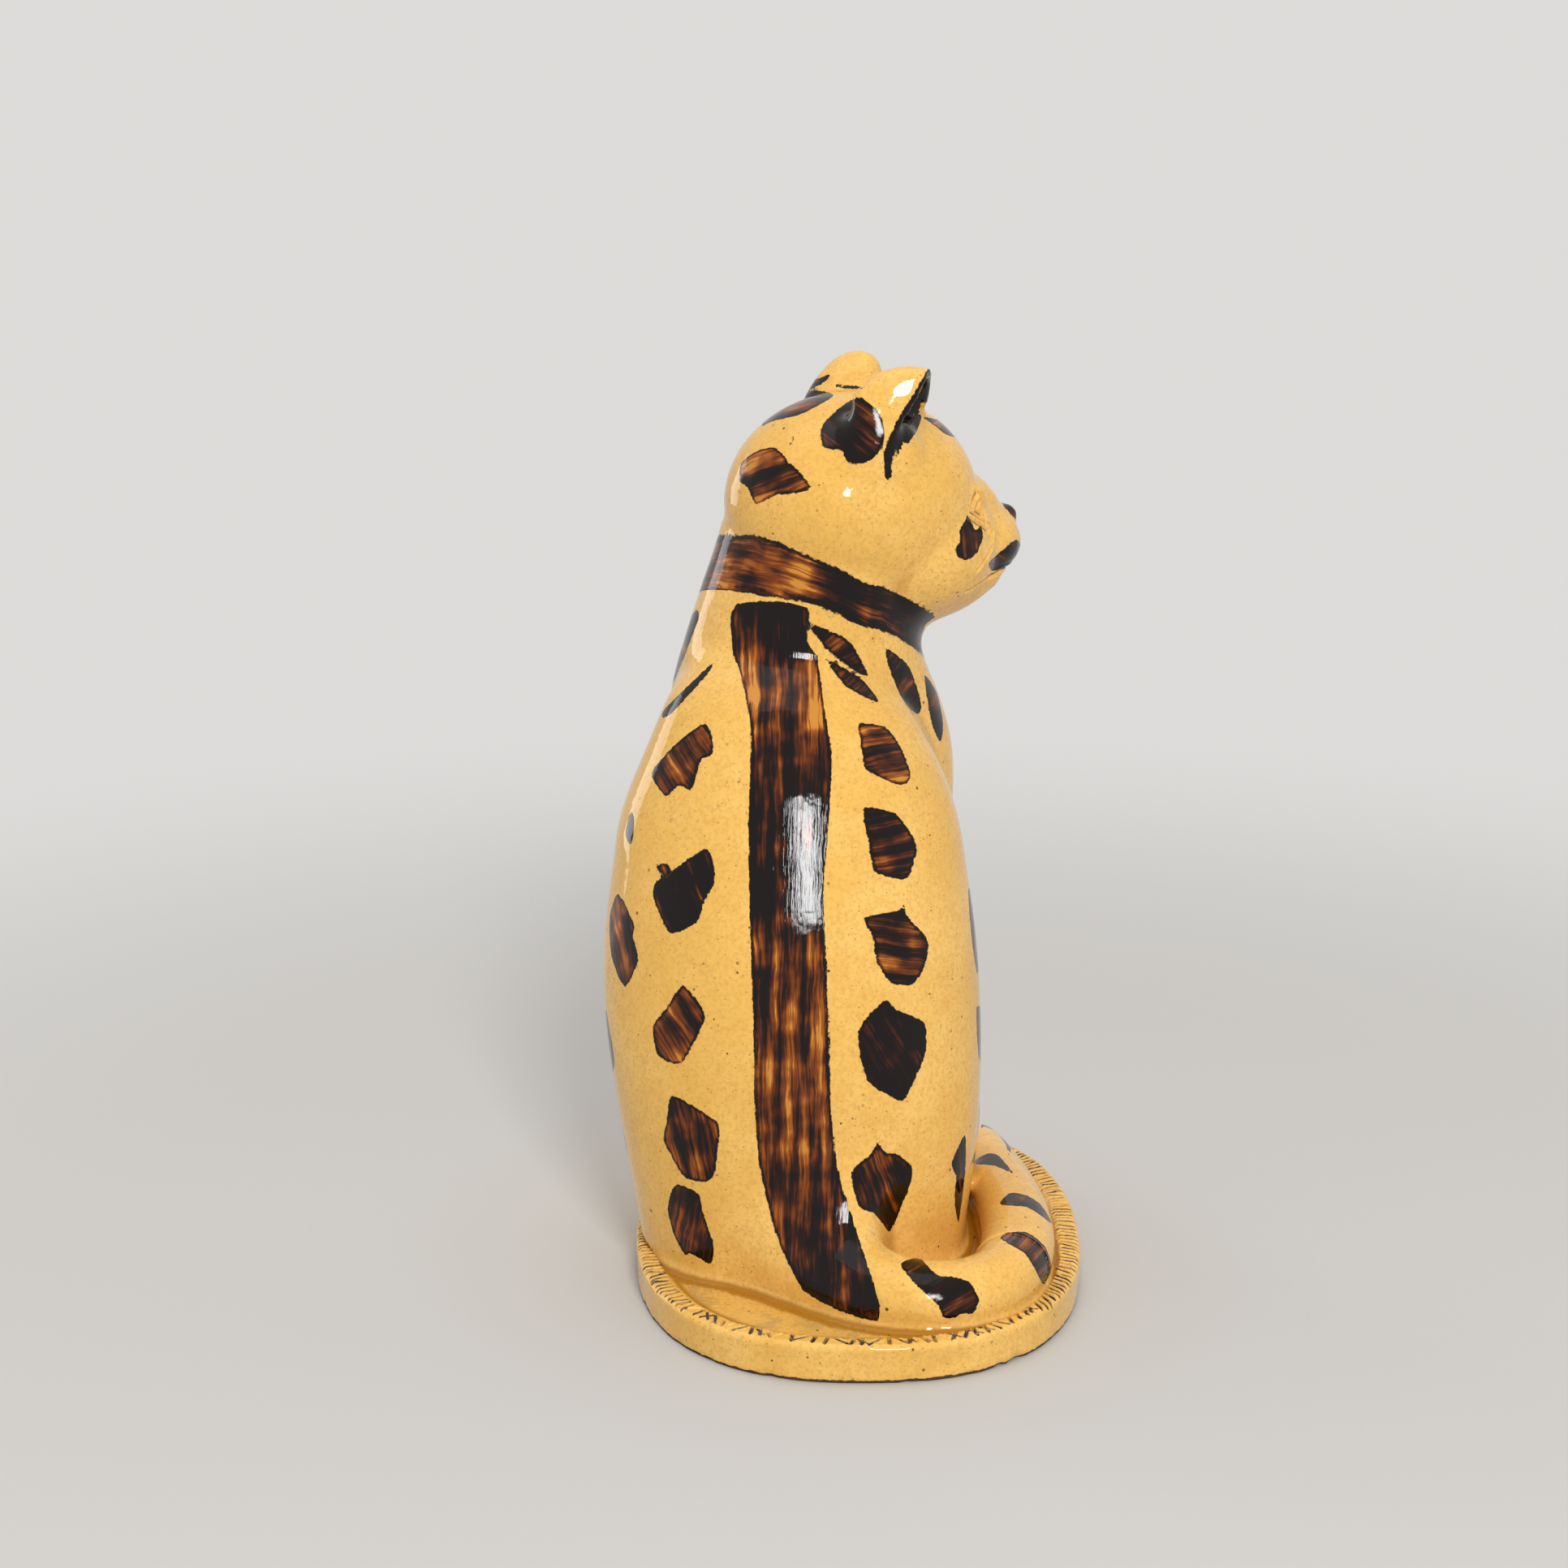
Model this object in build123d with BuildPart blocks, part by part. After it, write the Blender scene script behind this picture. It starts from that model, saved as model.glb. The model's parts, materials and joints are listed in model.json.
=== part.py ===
"""Seated cat in glazed earthenware, on a hatched oval plinth.

The figure is hollow and built by hand from separately formed pieces of clay: a slab for the plinth,
a thrown body with its breast and neck, a thrown head, and small rolled or pressed pieces for the
ears, face, legs, paws and tail. Each piece is one solid here, cut to seat on the piece that bears it,
as the potter cuts and lutes it.

Millimetres. +Z is up. The origin is the centre of the plinth's underside. The cat sits facing -Y,
with its own right side towards -X, and it looks round over its right shoulder.
"""

import math
import os

from build123d import *

# --- clay ---
wall = 7.0                       # thickness of the thrown shells

# --- plinth: an oval slab with a low rolled rim ---
plinth_width = 176.0
plinth_length = 240.0
plinth_squareness = 2.4          # 2 is an ellipse, more is squarer
floor_z = 13.0                   # upper face, on which everything stands
rim_height = 15.0
rim_width = 8.5
rim_round = 2.5                  # rounding of the rim's outer edge
rim_slope = 1.5                  # chamfer of the rim's inner edge
foot_bevel = 1.0                 # where the glaze is wiped off
vent_diameter = 30.0             # lets the kiln's steam and air out of the hollow body
vent_across, vent_aft = 20.0, 4.0
hollow_overlap = 1.0             # how far the body's hollow is cut past its foot

# --- body: a thrown barrel that leans forwards ---
# (height, middle across, middle aft, half width, half depth, squareness)
barrel_stations = (
    (floor_z, 20.5, 3.0, 63.0, 58.0, 2.9),
    (40.0, 21.6, 3.0, 66.8, 61.5, 2.6),
    (68.0, 23.0, 2.5, 70.8, 65.0, 2.35),
    (98.0, 25.2, 0.5, 73.4, 67.0, 2.15),
    (132.0, 26.8, -4.0, 73.0, 66.0, 2.05),
    (165.0, 27.2, -9.0, 68.8, 60.5, 2.0),
    (193.0, 27.2, -13.0, 61.8, 52.5, 2.0),
    (215.0, 27.8, -16.0, 51.8, 43.5, 2.0),
    (232.0, 29.5, -19.0, 41.5, 33.0, 2.0),
    (243.0, 30.5, -21.0, 29.0, 22.5, 2.0),
    (248.5, 31.0, -22.5, 17.0, 12.5, 2.0),
)

# --- breast and neck: a column in front of the barrel, up into the head ---
column_stations = (
    (60.0, 20.0, -30.0, 30.0, 24.0, 2.0),
    (95.0, 20.0, -40.0, 43.0, 34.0, 2.0),
    (125.0, 19.5, -47.0, 53.0, 41.0, 2.0),
    (160.0, 19.0, -51.0, 56.5, 43.5, 2.0),
    (192.0, 18.5, -52.0, 57.5, 43.5, 2.0),
    (225.0, 21.5, -46.0, 52.5, 42.0, 2.0),
    (246.0, 22.5, -43.5, 46.5, 42.5, 2.0),
    (270.0, 17.5, -43.0, 43.0, 42.0, 2.0),
    (292.0, 12.5, -44.0, 41.0, 37.0, 2.0),
)

# --- hollow of the breast and neck, opening into the barrel's hollow and into the head ---
neck_hollow_stations = (
    (120.0, 22.0, -26.0, 38.0, 26.0, 2.0),
    (160.0, 20.0, -42.0, 47.0, 33.0, 2.0),
    (192.0, 19.0, -46.0, 49.0, 36.0, 2.0),
    (225.0, 21.0, -44.5, 43.5, 34.5, 2.0),
    (246.0, 22.5, -43.5, 39.0, 35.0, 2.0),
    (270.0, 17.5, -43.0, 35.5, 34.5, 2.0),
    (288.0, 12.5, -44.0, 31.0, 29.0, 2.0),
)

# --- seam between neck and head, along the lower edge of the painted collar ---
seam_across, seam_aft, seam_height = 19.0, -43.0, 249.0
seam_rise_left, seam_rise_aft = 0.30, 0.36     # rise for each millimetre to the cat's left, and aft

# --- head: an egg with jowls, turned to the cat's right ---
head_turn = 70.0                 # degrees from straight ahead
head_across, head_aft, head_height = 3.0, -43.0, 299.5
head_half_sizes = (50.5, 44.0, 42.5)           # along the way it looks, to its side, up
jowl_forward, jowl_rise = 22.0, -17.5
jowl_half_sizes = (38.0, 37.0, 31.0)

# --- face, measured from the middle of the head along the way it looks ---
bridge_forward, bridge_rise, bridge_dip = 40.0, -4.0, 30.0      # dip in degrees, nose end down
bridge_half_sizes = (26.0, 19.0, 17.0)
muzzle_forward, muzzle_rise, muzzle_dip = 50.0, -17.0, 12.0
muzzle_half_sizes = (21.5, 21.0, 15.5)
chin_forward, chin_rise, chin_dip = 42.0, -35.0, -28.0
chin_half_sizes = (25.5, 19.0, 12.5)
nose_forward, nose_rise, nose_dip = 66.5, -8.5, 40.0
nose_half_sizes = (5.0, 6.0, 3.6)
eye_forward, eye_side, eye_rise, eye_out = 44.5, 20.5, 2.0, 34.0
eye_half_sizes = (3.6, 7.5, 5.0)

# --- ears: cupped leaves ---
ear_forward, ear_side, ear_rise = 3.0, 27.0, 29.5
ear_half_sizes = (13.5, 16.5, 29.0)
ear_cup_shift, ear_cup_ratio = 11.0, 0.84      # the hollow is a smaller egg set forwards
ear_face_out = 35.0              # degrees the hollow looks out from straight ahead
ear_pitch = 31.0                 # degrees the tip leans forwards
ear_splay = -2.0                 # degrees the tip leans outwards

# --- forelegs and paws ---
forelegs_across = 18.0           # middle of the pair
foreleg_spread = 15.5            # each leg's middle from the pair's middle
foreleg_top_aft, foreleg_top_height, foreleg_top_radius = -64.0, 150.0, 16.0
foreleg_foot_aft, foreleg_foot_radius = -76.0, 14.0
forepaw_aft, forepaw_rise = -87.0, 5.0
forepaw_half_sizes = (14.5, 17.5, 12.5)

# --- hind legs: a thigh on each flank, and a paw before it ---
haunches_across = 16.0
haunch_spread, haunch_aft, haunch_height = 47.5, -24.0, 54.0
haunch_half_sizes = (18.5, 40.0, 44.0)
hind_paw_spread, hind_paw_aft, hind_paw_rise = 40.0, -58.0, 4.0
hind_paw_half_sizes = (12.5, 24.0, 11.5)

# --- tail: a rolled coil from the spine, round the cat's right side on the plinth ---
# (across, aft, half width, half height, height of the middle)
tail_path = (
    (28.0, 36.0, 26.0, 26.0, 30.0),
    (16.0, 61.0, 23.0, 20.0, 26.0),
    (-1.0, 80.0, 17.5, 15.5, 22.0),
    (-21.0, 89.0, 15.5, 13.5, 21.0),
    (-41.0, 85.0, 14.5, 12.8, 21.0),
    (-55.0, 67.0, 14.5, 12.5, 21.0),
    (-61.0, 42.0, 14.5, 12.5, 21.0),
    (-62.0, 10.0, 14.2, 12.5, 21.0),
    (-59.5, -22.0, 13.5, 12.0, 20.5),
    (-56.0, -50.0, 12.0, 11.0, 20.0),
    (-52.5, -74.0, 10.0, 9.5, 19.0),
)
tail_tip_half_sizes = (10.0, 10.0, 9.5)

facing = math.radians(head_turn)
look = Vector(-math.sin(facing), -math.cos(facing), 0)      # the way the head looks
left = Vector(math.cos(facing), -math.sin(facing), 0)       # the head's own left
head_middle = Vector(head_across, head_aft, head_height)


def oval_points(half_x, half_y, squareness, count=12):
    """Points of a closed oval, from the +X end round by +Y."""
    points = []
    for step in range(count):
        angle = 2 * math.pi * step / count
        c, s = math.cos(angle), math.sin(angle)
        reach = (abs(c) ** squareness + abs(s) ** squareness) ** (-1 / squareness)
        points.append((half_x * reach * c, half_y * reach * s))
    return points


def oval_stack(stations, shrink=0.0, foot=floor_z):
    """A solid through level ovals, each side moved in by shrink, from the given foot upwards."""
    with BuildPart() as stack:
        for height, across, aft, half_width, half_depth, squareness in stations:
            level = height if height > floor_z else foot
            outline = oval_points(half_width - shrink, half_depth - shrink, squareness)
            with BuildSketch(Plane((across, aft, level))):
                with BuildLine():
                    Spline(*outline, periodic=True)
                make_face()
        loft()
    return stack.part


def lump(middle, half_sizes, yaw=0.0, dip=0.0):
    """An egg of clay: its own x axis dips by dip, then turns by yaw, and it is set at its middle."""
    egg = scale(Sphere(1, mode=Mode.PRIVATE), by=half_sizes, mode=Mode.PRIVATE)
    return Pos(*middle) * Rot(0, 0, yaw) * Rot(0, dip, 0) * egg


def on_head(forward, side, rise):
    """A point of the head, measured from its middle: forward, to its left, and up."""
    return head_middle + look * forward + left * side + Vector(0, 0, rise)


def head_lump(forward, side, rise, half_sizes, dip=0.0, out=0.0):
    """An egg on the head. Out turns it towards the side that it is on."""
    turn = -90 - head_turn + math.copysign(out, side)
    return lump(on_head(forward, side, rise), half_sizes, turn, dip)


def seam_cut():
    """The sloping plane where the head is luted to the neck."""
    normal = Vector(-seam_rise_left, -seam_rise_aft, 1).normalized()
    return Plane(origin=(seam_across, seam_aft, seam_height), z_dir=normal)


def ear(side):
    """One ear, a leaf with its hollow to the front. Side is 1 for the cat's left, -1 for its right."""
    place = Pos(*on_head(ear_forward, side * ear_side, ear_rise)) * Rot(0, 0, -90 - head_turn)
    place = place * Rot(0, ear_pitch, 0) * Rot(-side * ear_splay, 0, 0) * Rot(0, 0, side * ear_face_out)
    cup_sizes = tuple(size * ear_cup_ratio for size in ear_half_sizes)
    with BuildPart() as leaf_form:
        add(place * lump((0, 0, 0), ear_half_sizes))
        add(place * lump((ear_cup_shift, 0, 0), cup_sizes), mode=Mode.SUBTRACT)
        add(head_form.part, mode=Mode.SUBTRACT)
    return leaf_form.part


def foreleg(side):
    """One foreleg, a roll of clay from the breast down to the plinth."""
    across = forelegs_across + side * foreleg_spread
    top = (across, foreleg_top_aft, foreleg_top_height)
    with BuildPart() as leg_form:
        with BuildSketch(Plane((across, foreleg_foot_aft, floor_z))):
            Circle(foreleg_foot_radius)
        with BuildSketch(Plane(top)):
            Circle(foreleg_top_radius)
        loft()
    return leg_form.part


def haunch(side):
    """One thigh, a pad of clay on the flank."""
    middle = (haunches_across + side * haunch_spread, haunch_aft, haunch_height)
    with BuildPart() as pad:
        add(lump(middle, haunch_half_sizes))
        split(bisect_by=Plane.XY.offset(floor_z), keep=Keep.TOP)
        add(trunk_form.part, mode=Mode.SUBTRACT)
        add(plinth.part, mode=Mode.SUBTRACT)
    return pad.part


def paw(across, aft, rise, half_sizes):
    """One paw, an egg of clay pressed flat on the plinth. Its length runs fore and aft."""
    with BuildPart() as pressed:
        add(lump((across, aft, floor_z + rise), half_sizes))
        split(bisect_by=Plane.XY.offset(floor_z), keep=Keep.TOP)
        add(plinth.part, mode=Mode.SUBTRACT)
    return pressed.part


def coil(path):
    """A roll of clay that lies on the plinth along the path, with a rounded tip."""
    places = [Vector(station[0], station[1], station[4]) for station in path]
    run = Spline(*places, mode=Mode.PRIVATE)
    with BuildPart() as roll:
        for place, station in zip(places, path):
            along = run % run.param_at_point(place)
            across = along.cross(Vector(0, 0, 1))
            with BuildSketch(Plane(origin=place, x_dir=across, z_dir=along)):
                Ellipse(station[2], station[3])
        loft()
        add(lump(places[-1], tail_tip_half_sizes))
    return roll.part


# --- forms that the pieces are cut from, and cut to seat on ---
skull_form = head_lump(0, 0, 0, head_half_sizes)
jowl_form = head_lump(jowl_forward, 0, jowl_rise, jowl_half_sizes)
bridge_form = head_lump(bridge_forward, 0, bridge_rise, bridge_half_sizes, bridge_dip)

with BuildPart() as trunk_form:      # barrel, breast and neck up to the seam, before hollowing
    add(oval_stack(barrel_stations))
    add(oval_stack(column_stations))
    split(bisect_by=seam_cut(), keep=Keep.BOTTOM)

with BuildPart() as head_form:       # head and the top of the neck, before hollowing
    add(oval_stack(column_stations))
    add(skull_form)
    add(jowl_form)
    add(bridge_form)
    split(bisect_by=seam_cut(), keep=Keep.TOP)

hollow_neck = oval_stack(neck_hollow_stations)
hollow_barrel = oval_stack(barrel_stations[:-2], wall, floor_z - hollow_overlap)
hollow_skull = head_lump(0, 0, 0, tuple(size - wall for size in head_half_sizes))

# --- plinth ---
with BuildPart() as plinth:
    half_width, half_length = plinth_width / 2, plinth_length / 2
    slab_outline = oval_points(half_width, half_length, plinth_squareness, 24)
    floor_outline = oval_points(half_width - rim_width, half_length - rim_width, plinth_squareness, 24)
    with BuildSketch():
        with BuildLine():
            Spline(*slab_outline, periodic=True)
        make_face()
    extrude(amount=rim_height)
    fillet(plinth.edges().group_by(Axis.Z)[-1], rim_round)
    chamfer(plinth.edges().group_by(Axis.Z)[0], foot_bevel)
    with BuildSketch(Plane.XY.offset(floor_z)):
        with BuildLine():
            Spline(*floor_outline, periodic=True)
        make_face()
    extrude(amount=rim_height, mode=Mode.SUBTRACT)
    rim_top = plinth.edges().group_by(Axis.Z)[-1]
    chamfer(rim_top.sort_by(SortBy.LENGTH)[0], rim_slope)
    with Locations((vent_across, vent_aft, 0)):
        Cylinder(vent_diameter / 2, rim_height, align=(Align.CENTER, Align.CENTER, Align.MIN),
                 mode=Mode.SUBTRACT)
plinth.part.label = "plinth"

# --- body, with breast and neck ---
with BuildPart() as body:
    add(trunk_form.part)
    add(hollow_barrel, mode=Mode.SUBTRACT)
    add(hollow_neck, mode=Mode.SUBTRACT)
    add(plinth.part, mode=Mode.SUBTRACT)
body.part.label = "body"

# --- head ---
with BuildPart() as head:
    add(head_form.part)
    add(hollow_skull, mode=Mode.SUBTRACT)
    add(hollow_neck, mode=Mode.SUBTRACT)
head.part.label = "head"

pieces = [plinth, body, head]

# --- ears ---
with BuildPart() as ear_left:
    add(ear(1))
ear_left.part.label = "ear_left"

with BuildPart() as ear_right:
    add(ear(-1))
ear_right.part.label = "ear_right"
pieces += [ear_left, ear_right]

# --- muzzle, with the upper lip ---
with BuildPart() as muzzle:
    add(head_lump(muzzle_forward, 0, muzzle_rise, muzzle_half_sizes, muzzle_dip))
    add(head_form.part, mode=Mode.SUBTRACT)
muzzle.part.label = "muzzle"

# --- lower jaw ---
with BuildPart() as lower_jaw:
    add(head_lump(chin_forward, 0, chin_rise, chin_half_sizes, chin_dip))
    add(head_form.part, mode=Mode.SUBTRACT)
    add(trunk_form.part, mode=Mode.SUBTRACT)
    add(muzzle.part, mode=Mode.SUBTRACT)
lower_jaw.part.label = "lower_jaw"

# --- nose ---
with BuildPart() as nose:
    add(head_lump(nose_forward, 0, nose_rise, nose_half_sizes, nose_dip))
    add(head_form.part, mode=Mode.SUBTRACT)
    add(muzzle.part, mode=Mode.SUBTRACT)
nose.part.label = "nose"
pieces += [muzzle, lower_jaw, nose]

# --- eyes ---
with BuildPart() as eye_left:
    add(head_lump(eye_forward, eye_side, eye_rise, eye_half_sizes, out=eye_out))
    add(head_form.part, mode=Mode.SUBTRACT)
eye_left.part.label = "eye_left"

with BuildPart() as eye_right:
    add(head_lump(eye_forward, -eye_side, eye_rise, eye_half_sizes, out=eye_out))
    add(head_form.part, mode=Mode.SUBTRACT)
eye_right.part.label = "eye_right"
pieces += [eye_left, eye_right]

# --- forelegs ---
with BuildPart() as foreleg_left:
    add(foreleg(1))
    add(trunk_form.part, mode=Mode.SUBTRACT)
foreleg_left.part.label = "foreleg_left"

with BuildPart() as foreleg_right:
    add(foreleg(-1))
    add(trunk_form.part, mode=Mode.SUBTRACT)
foreleg_right.part.label = "foreleg_right"
pieces += [foreleg_left, foreleg_right]

# --- haunches ---
with BuildPart() as haunch_left:
    add(haunch(1))
haunch_left.part.label = "haunch_left"

with BuildPart() as haunch_right:
    add(haunch(-1))
haunch_right.part.label = "haunch_right"
pieces += [haunch_left, haunch_right]

# --- paws ---
with BuildPart() as forepaw_left:
    add(paw(forelegs_across + foreleg_spread, forepaw_aft, forepaw_rise, forepaw_half_sizes))
    add(foreleg_left.part, mode=Mode.SUBTRACT)
forepaw_left.part.label = "forepaw_left"

with BuildPart() as forepaw_right:
    add(paw(forelegs_across - foreleg_spread, forepaw_aft, forepaw_rise, forepaw_half_sizes))
    add(foreleg_right.part, mode=Mode.SUBTRACT)
forepaw_right.part.label = "forepaw_right"

with BuildPart() as hind_paw_left:
    add(paw(haunches_across + hind_paw_spread, hind_paw_aft, hind_paw_rise, hind_paw_half_sizes))
    add(trunk_form.part, mode=Mode.SUBTRACT)
    add(haunch_left.part, mode=Mode.SUBTRACT)
    add(foreleg_left.part, mode=Mode.SUBTRACT)
hind_paw_left.part.label = "hind_paw_left"

with BuildPart() as hind_paw_right:
    add(paw(haunches_across - hind_paw_spread, hind_paw_aft, hind_paw_rise, hind_paw_half_sizes))
    add(trunk_form.part, mode=Mode.SUBTRACT)
    add(haunch_right.part, mode=Mode.SUBTRACT)
    add(foreleg_right.part, mode=Mode.SUBTRACT)
hind_paw_right.part.label = "hind_paw_right"
pieces += [forepaw_left, forepaw_right, hind_paw_left, hind_paw_right]

# --- tail ---
with BuildPart() as tail:
    add(coil(tail_path))
    add(trunk_form.part, mode=Mode.SUBTRACT)
    add(haunch_right.part, mode=Mode.SUBTRACT)
    add(hind_paw_right.part, mode=Mode.SUBTRACT)
    split(bisect_by=Plane.XY.offset(floor_z), keep=Keep.TOP)
    add(plinth.part, mode=Mode.SUBTRACT)
tail.part.label = "tail"
pieces += [tail]

for piece in pieces:
    print(piece.part.label, round(piece.part.volume), piece.part.is_valid, len(piece.part.solids()))

os.makedirs("parts", exist_ok=True)
for piece in pieces:
    export_step(piece.part, f"parts/{piece.part.label}.step")
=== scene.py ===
"""A seated cat in hollow earthenware, honey glazed with brushed brown marks, on a plinth with a notched rim."""

import json
import math

import bpy
import numpy as np
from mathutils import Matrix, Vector
from mathutils.bvhtree import BVHTree
from mathutils.kdtree import KDTree

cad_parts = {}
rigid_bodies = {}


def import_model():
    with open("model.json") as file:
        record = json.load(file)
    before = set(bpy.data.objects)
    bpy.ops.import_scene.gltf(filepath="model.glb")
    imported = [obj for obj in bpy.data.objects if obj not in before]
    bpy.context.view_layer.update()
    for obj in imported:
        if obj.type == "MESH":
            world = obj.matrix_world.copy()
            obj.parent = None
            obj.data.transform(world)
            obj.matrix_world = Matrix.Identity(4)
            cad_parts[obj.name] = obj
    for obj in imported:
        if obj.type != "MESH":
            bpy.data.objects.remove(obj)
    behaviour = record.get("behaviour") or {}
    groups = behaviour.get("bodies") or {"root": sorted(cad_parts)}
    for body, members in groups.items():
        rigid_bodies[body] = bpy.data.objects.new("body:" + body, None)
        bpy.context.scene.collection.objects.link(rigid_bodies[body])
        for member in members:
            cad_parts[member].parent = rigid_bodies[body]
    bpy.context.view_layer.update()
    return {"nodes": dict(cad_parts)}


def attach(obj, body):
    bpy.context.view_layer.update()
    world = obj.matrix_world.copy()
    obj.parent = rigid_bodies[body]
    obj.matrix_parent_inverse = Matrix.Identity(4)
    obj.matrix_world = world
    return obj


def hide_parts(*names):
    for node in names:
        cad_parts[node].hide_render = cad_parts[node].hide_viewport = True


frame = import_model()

cad = frame["nodes"]

# The view.
# The cat is looked at from behind, from a little above its head, with its face turned to the right
# of the picture. The camera stands 1.16 m behind the middle of the plinth and looks 14 degrees down.
eye_behind = (0.0293, 1.1573, 0.4840)
bpy.ops.object.camera_add(location=eye_behind, rotation=(math.radians(76.0), 0.0, math.radians(180.0)))
camera = bpy.context.object
camera.name = "camera"
camera.data.sensor_width = 36.0
camera.data.lens = 70.807
camera.data.clip_start = 0.05
camera.data.clip_end = 60.0
bpy.context.scene.camera = camera
bpy.context.scene.view_settings.view_transform = "Standard"

# The table top and the light.
# The cat stands on a plain pale sheet under a large soft window of light behind the camera, with a
# pale wall beyond it on the left and a weak light from overhead.
pale = (0.72, 0.71, 0.695)


def join(value, socket):
    """Gives a socket a number, a colour, or what another node puts out."""
    if isinstance(value, tuple):
        socket.default_value = value + (1.0,)
    elif isinstance(value, (int, float)):
        socket.default_value = value
    else:
        net.links.new(value, socket)


def add(kind, **settings):
    """Adds a node to the net at hand; a setting named after a socket goes to that socket."""
    node = net.nodes.new("ShaderNode" + kind)
    for key, value in settings.items():
        if hasattr(node, key):
            setattr(node, key, value)
        else:
            join(value, node.inputs[key.replace("_", " ")])
    return node


def sums(operation, first, *others):
    """Does one sum after another, from the first value on."""
    for other in others:
        node = add("Math", operation=operation)
        join(first, node.inputs[0])
        join(other, node.inputs[1])
        first = node.outputs[0]
    return first


def between(value, low, high, to_low=0.0, to_high=1.0, smooth=True):
    """Runs from one number to another while the value runs from low to high."""
    return add("MapRange", interpolation_type="SMOOTHSTEP" if smooth else "LINEAR", Value=value,
               From_Min=low, From_Max=high, To_Min=to_low, To_Max=to_high).outputs["Result"]


def seen_by_eye():
    """One where a ray comes from the camera, a reflection or a clear body, and nothing for plain light."""
    path = add("LightPath").outputs
    return sums("MAXIMUM", path["Is Camera Ray"], path["Is Glossy Ray"], path["Is Transmission Ray"])


def show(share, lit, seen, output):
    """Shows the lit shader, and by a share between 0 and 1 the plainly seen one instead."""
    mix = add("MixShader")
    for value, socket in zip((share, lit.outputs[0], seen.outputs[0]), mix.inputs):
        join(value, socket)
    join(mix.outputs[0], output.inputs["Surface"])


bpy.ops.mesh.primitive_circle_add(vertices=96, radius=9.0, fill_type="NGON")
floor = bpy.context.object
floor.name = "floor"
paper = bpy.data.materials.new("pale_paper")
paper.use_nodes = True
floor.data.materials.append(paper)
net = paper.node_tree
sheet = net.nodes["Principled BSDF"]
for name, value in (("Base Color", (0.56, 0.55, 0.535)), ("Roughness", 0.7), ("Specular IOR Level", 0.2)):
    join(value, sheet.inputs[name])
from_cat = add("VectorMath", operation="LENGTH")
join(add("TexCoord").outputs["Object"], from_cat.inputs[0])
far_share = sums("MULTIPLY", between(from_cat.outputs["Value"], 0.30, 0.95), seen_by_eye())
show(far_share, sheet, add("Emission", Color=pale), net.nodes["Material Output"])

room = bpy.data.worlds.new("soft_room")
bpy.context.scene.world = room
room.use_nodes = True
net = room.node_tree
net.nodes.clear()
way = add("SeparateXYZ", Vector=add("TexCoord").outputs["Generated"]).outputs
glow = sums("ADD", between(way["Z"], 0.35, 0.95, 0.0, 0.70), between(way["Y"], 0.10, -0.45, 0.16, 0.55))
show(seen_by_eye(), add("Background", Color=(1.0, 0.985, 0.96), Strength=glow),
     add("Background", Color=pale, Strength=1.0), add("OutputWorld"))


def softbox(name, place, aim, width, height, power):
    bpy.ops.object.light_add(type="AREA", location=place)
    lamp = bpy.context.object
    lamp.name = name
    lamp.data.shape = "RECTANGLE"
    lamp.data.size = width
    lamp.data.size_y = height
    lamp.data.energy = power
    lamp.rotation_euler = (Vector(aim) - Vector(place)).to_track_quat("-Z", "Y").to_euler()


softbox("window", (-0.40, 2.20, 1.45), (0.0, 0.0, 0.18), 0.52, 0.72, 42.0)
softbox("wall", (1.90, -1.45, 0.45), (0.0, 0.0, 0.12), 0.7, 1.3, 7.0)
softbox("overhead", (0.35, -0.05, 1.95), (0.0, 0.0, 0.1), 1.2, 1.5, 4.0)

# The clay of the cat.
# Body, head, limbs and tail are hand-built in earthenware and luted together while damp, then the
# joins are wiped smooth and a thick glaze runs over them, so the whole cat is one skin on its plinth.
grain = 0.00166
floor_z = 0.013
clay_nodes = sorted(name for name in cad if name != "plinth")


def take(piece):
    bpy.ops.object.select_all(action="DESELECT")
    piece.select_set(True)
    bpy.context.view_layer.objects.active = piece


def press(piece, kind, **settings):
    """Puts a modifier on a piece and applies it."""
    take(piece)
    tool = piece.modifiers.new(kind.lower(), kind)
    for key, value in settings.items():
        setattr(tool, key, value)
    bpy.ops.object.modifier_apply(modifier=tool.name)


def at_work(piece, *jobs, chosen=None):
    """Does jobs on a mesh in edit mode, with all its points picked or only the chosen ones."""
    take(piece)
    bpy.ops.object.mode_set(mode="EDIT")
    bpy.ops.mesh.select_mode(type="VERT")
    bpy.ops.mesh.select_all(action="SELECT" if chosen is None else "DESELECT")
    if chosen is not None:
        bpy.ops.object.mode_set(mode="OBJECT")
        piece.data.vertices.foreach_set("select", chosen)
        bpy.ops.object.mode_set(mode="EDIT")
    for job in jobs:
        job()
    bpy.ops.object.mode_set(mode="OBJECT")


def read(items, field, width=3, kind=float):
    """Reads one field of all the items of a mesh into rows."""
    values = np.zeros(len(items) * width, kind)
    items.foreach_get(field, values)
    return values.reshape(-1, width) if width > 1 else values


def places(piece):
    return read(piece.data.vertices, "co")


def normals(piece):
    return read(piece.data.vertex_normals, "vector")


def ends(piece):
    return read(piece.data.edges, "vertices", 2, np.int64)


def move(piece, spots):
    piece.data.vertices.foreach_set("co", spots.reshape(-1))
    piece.data.update()


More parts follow.
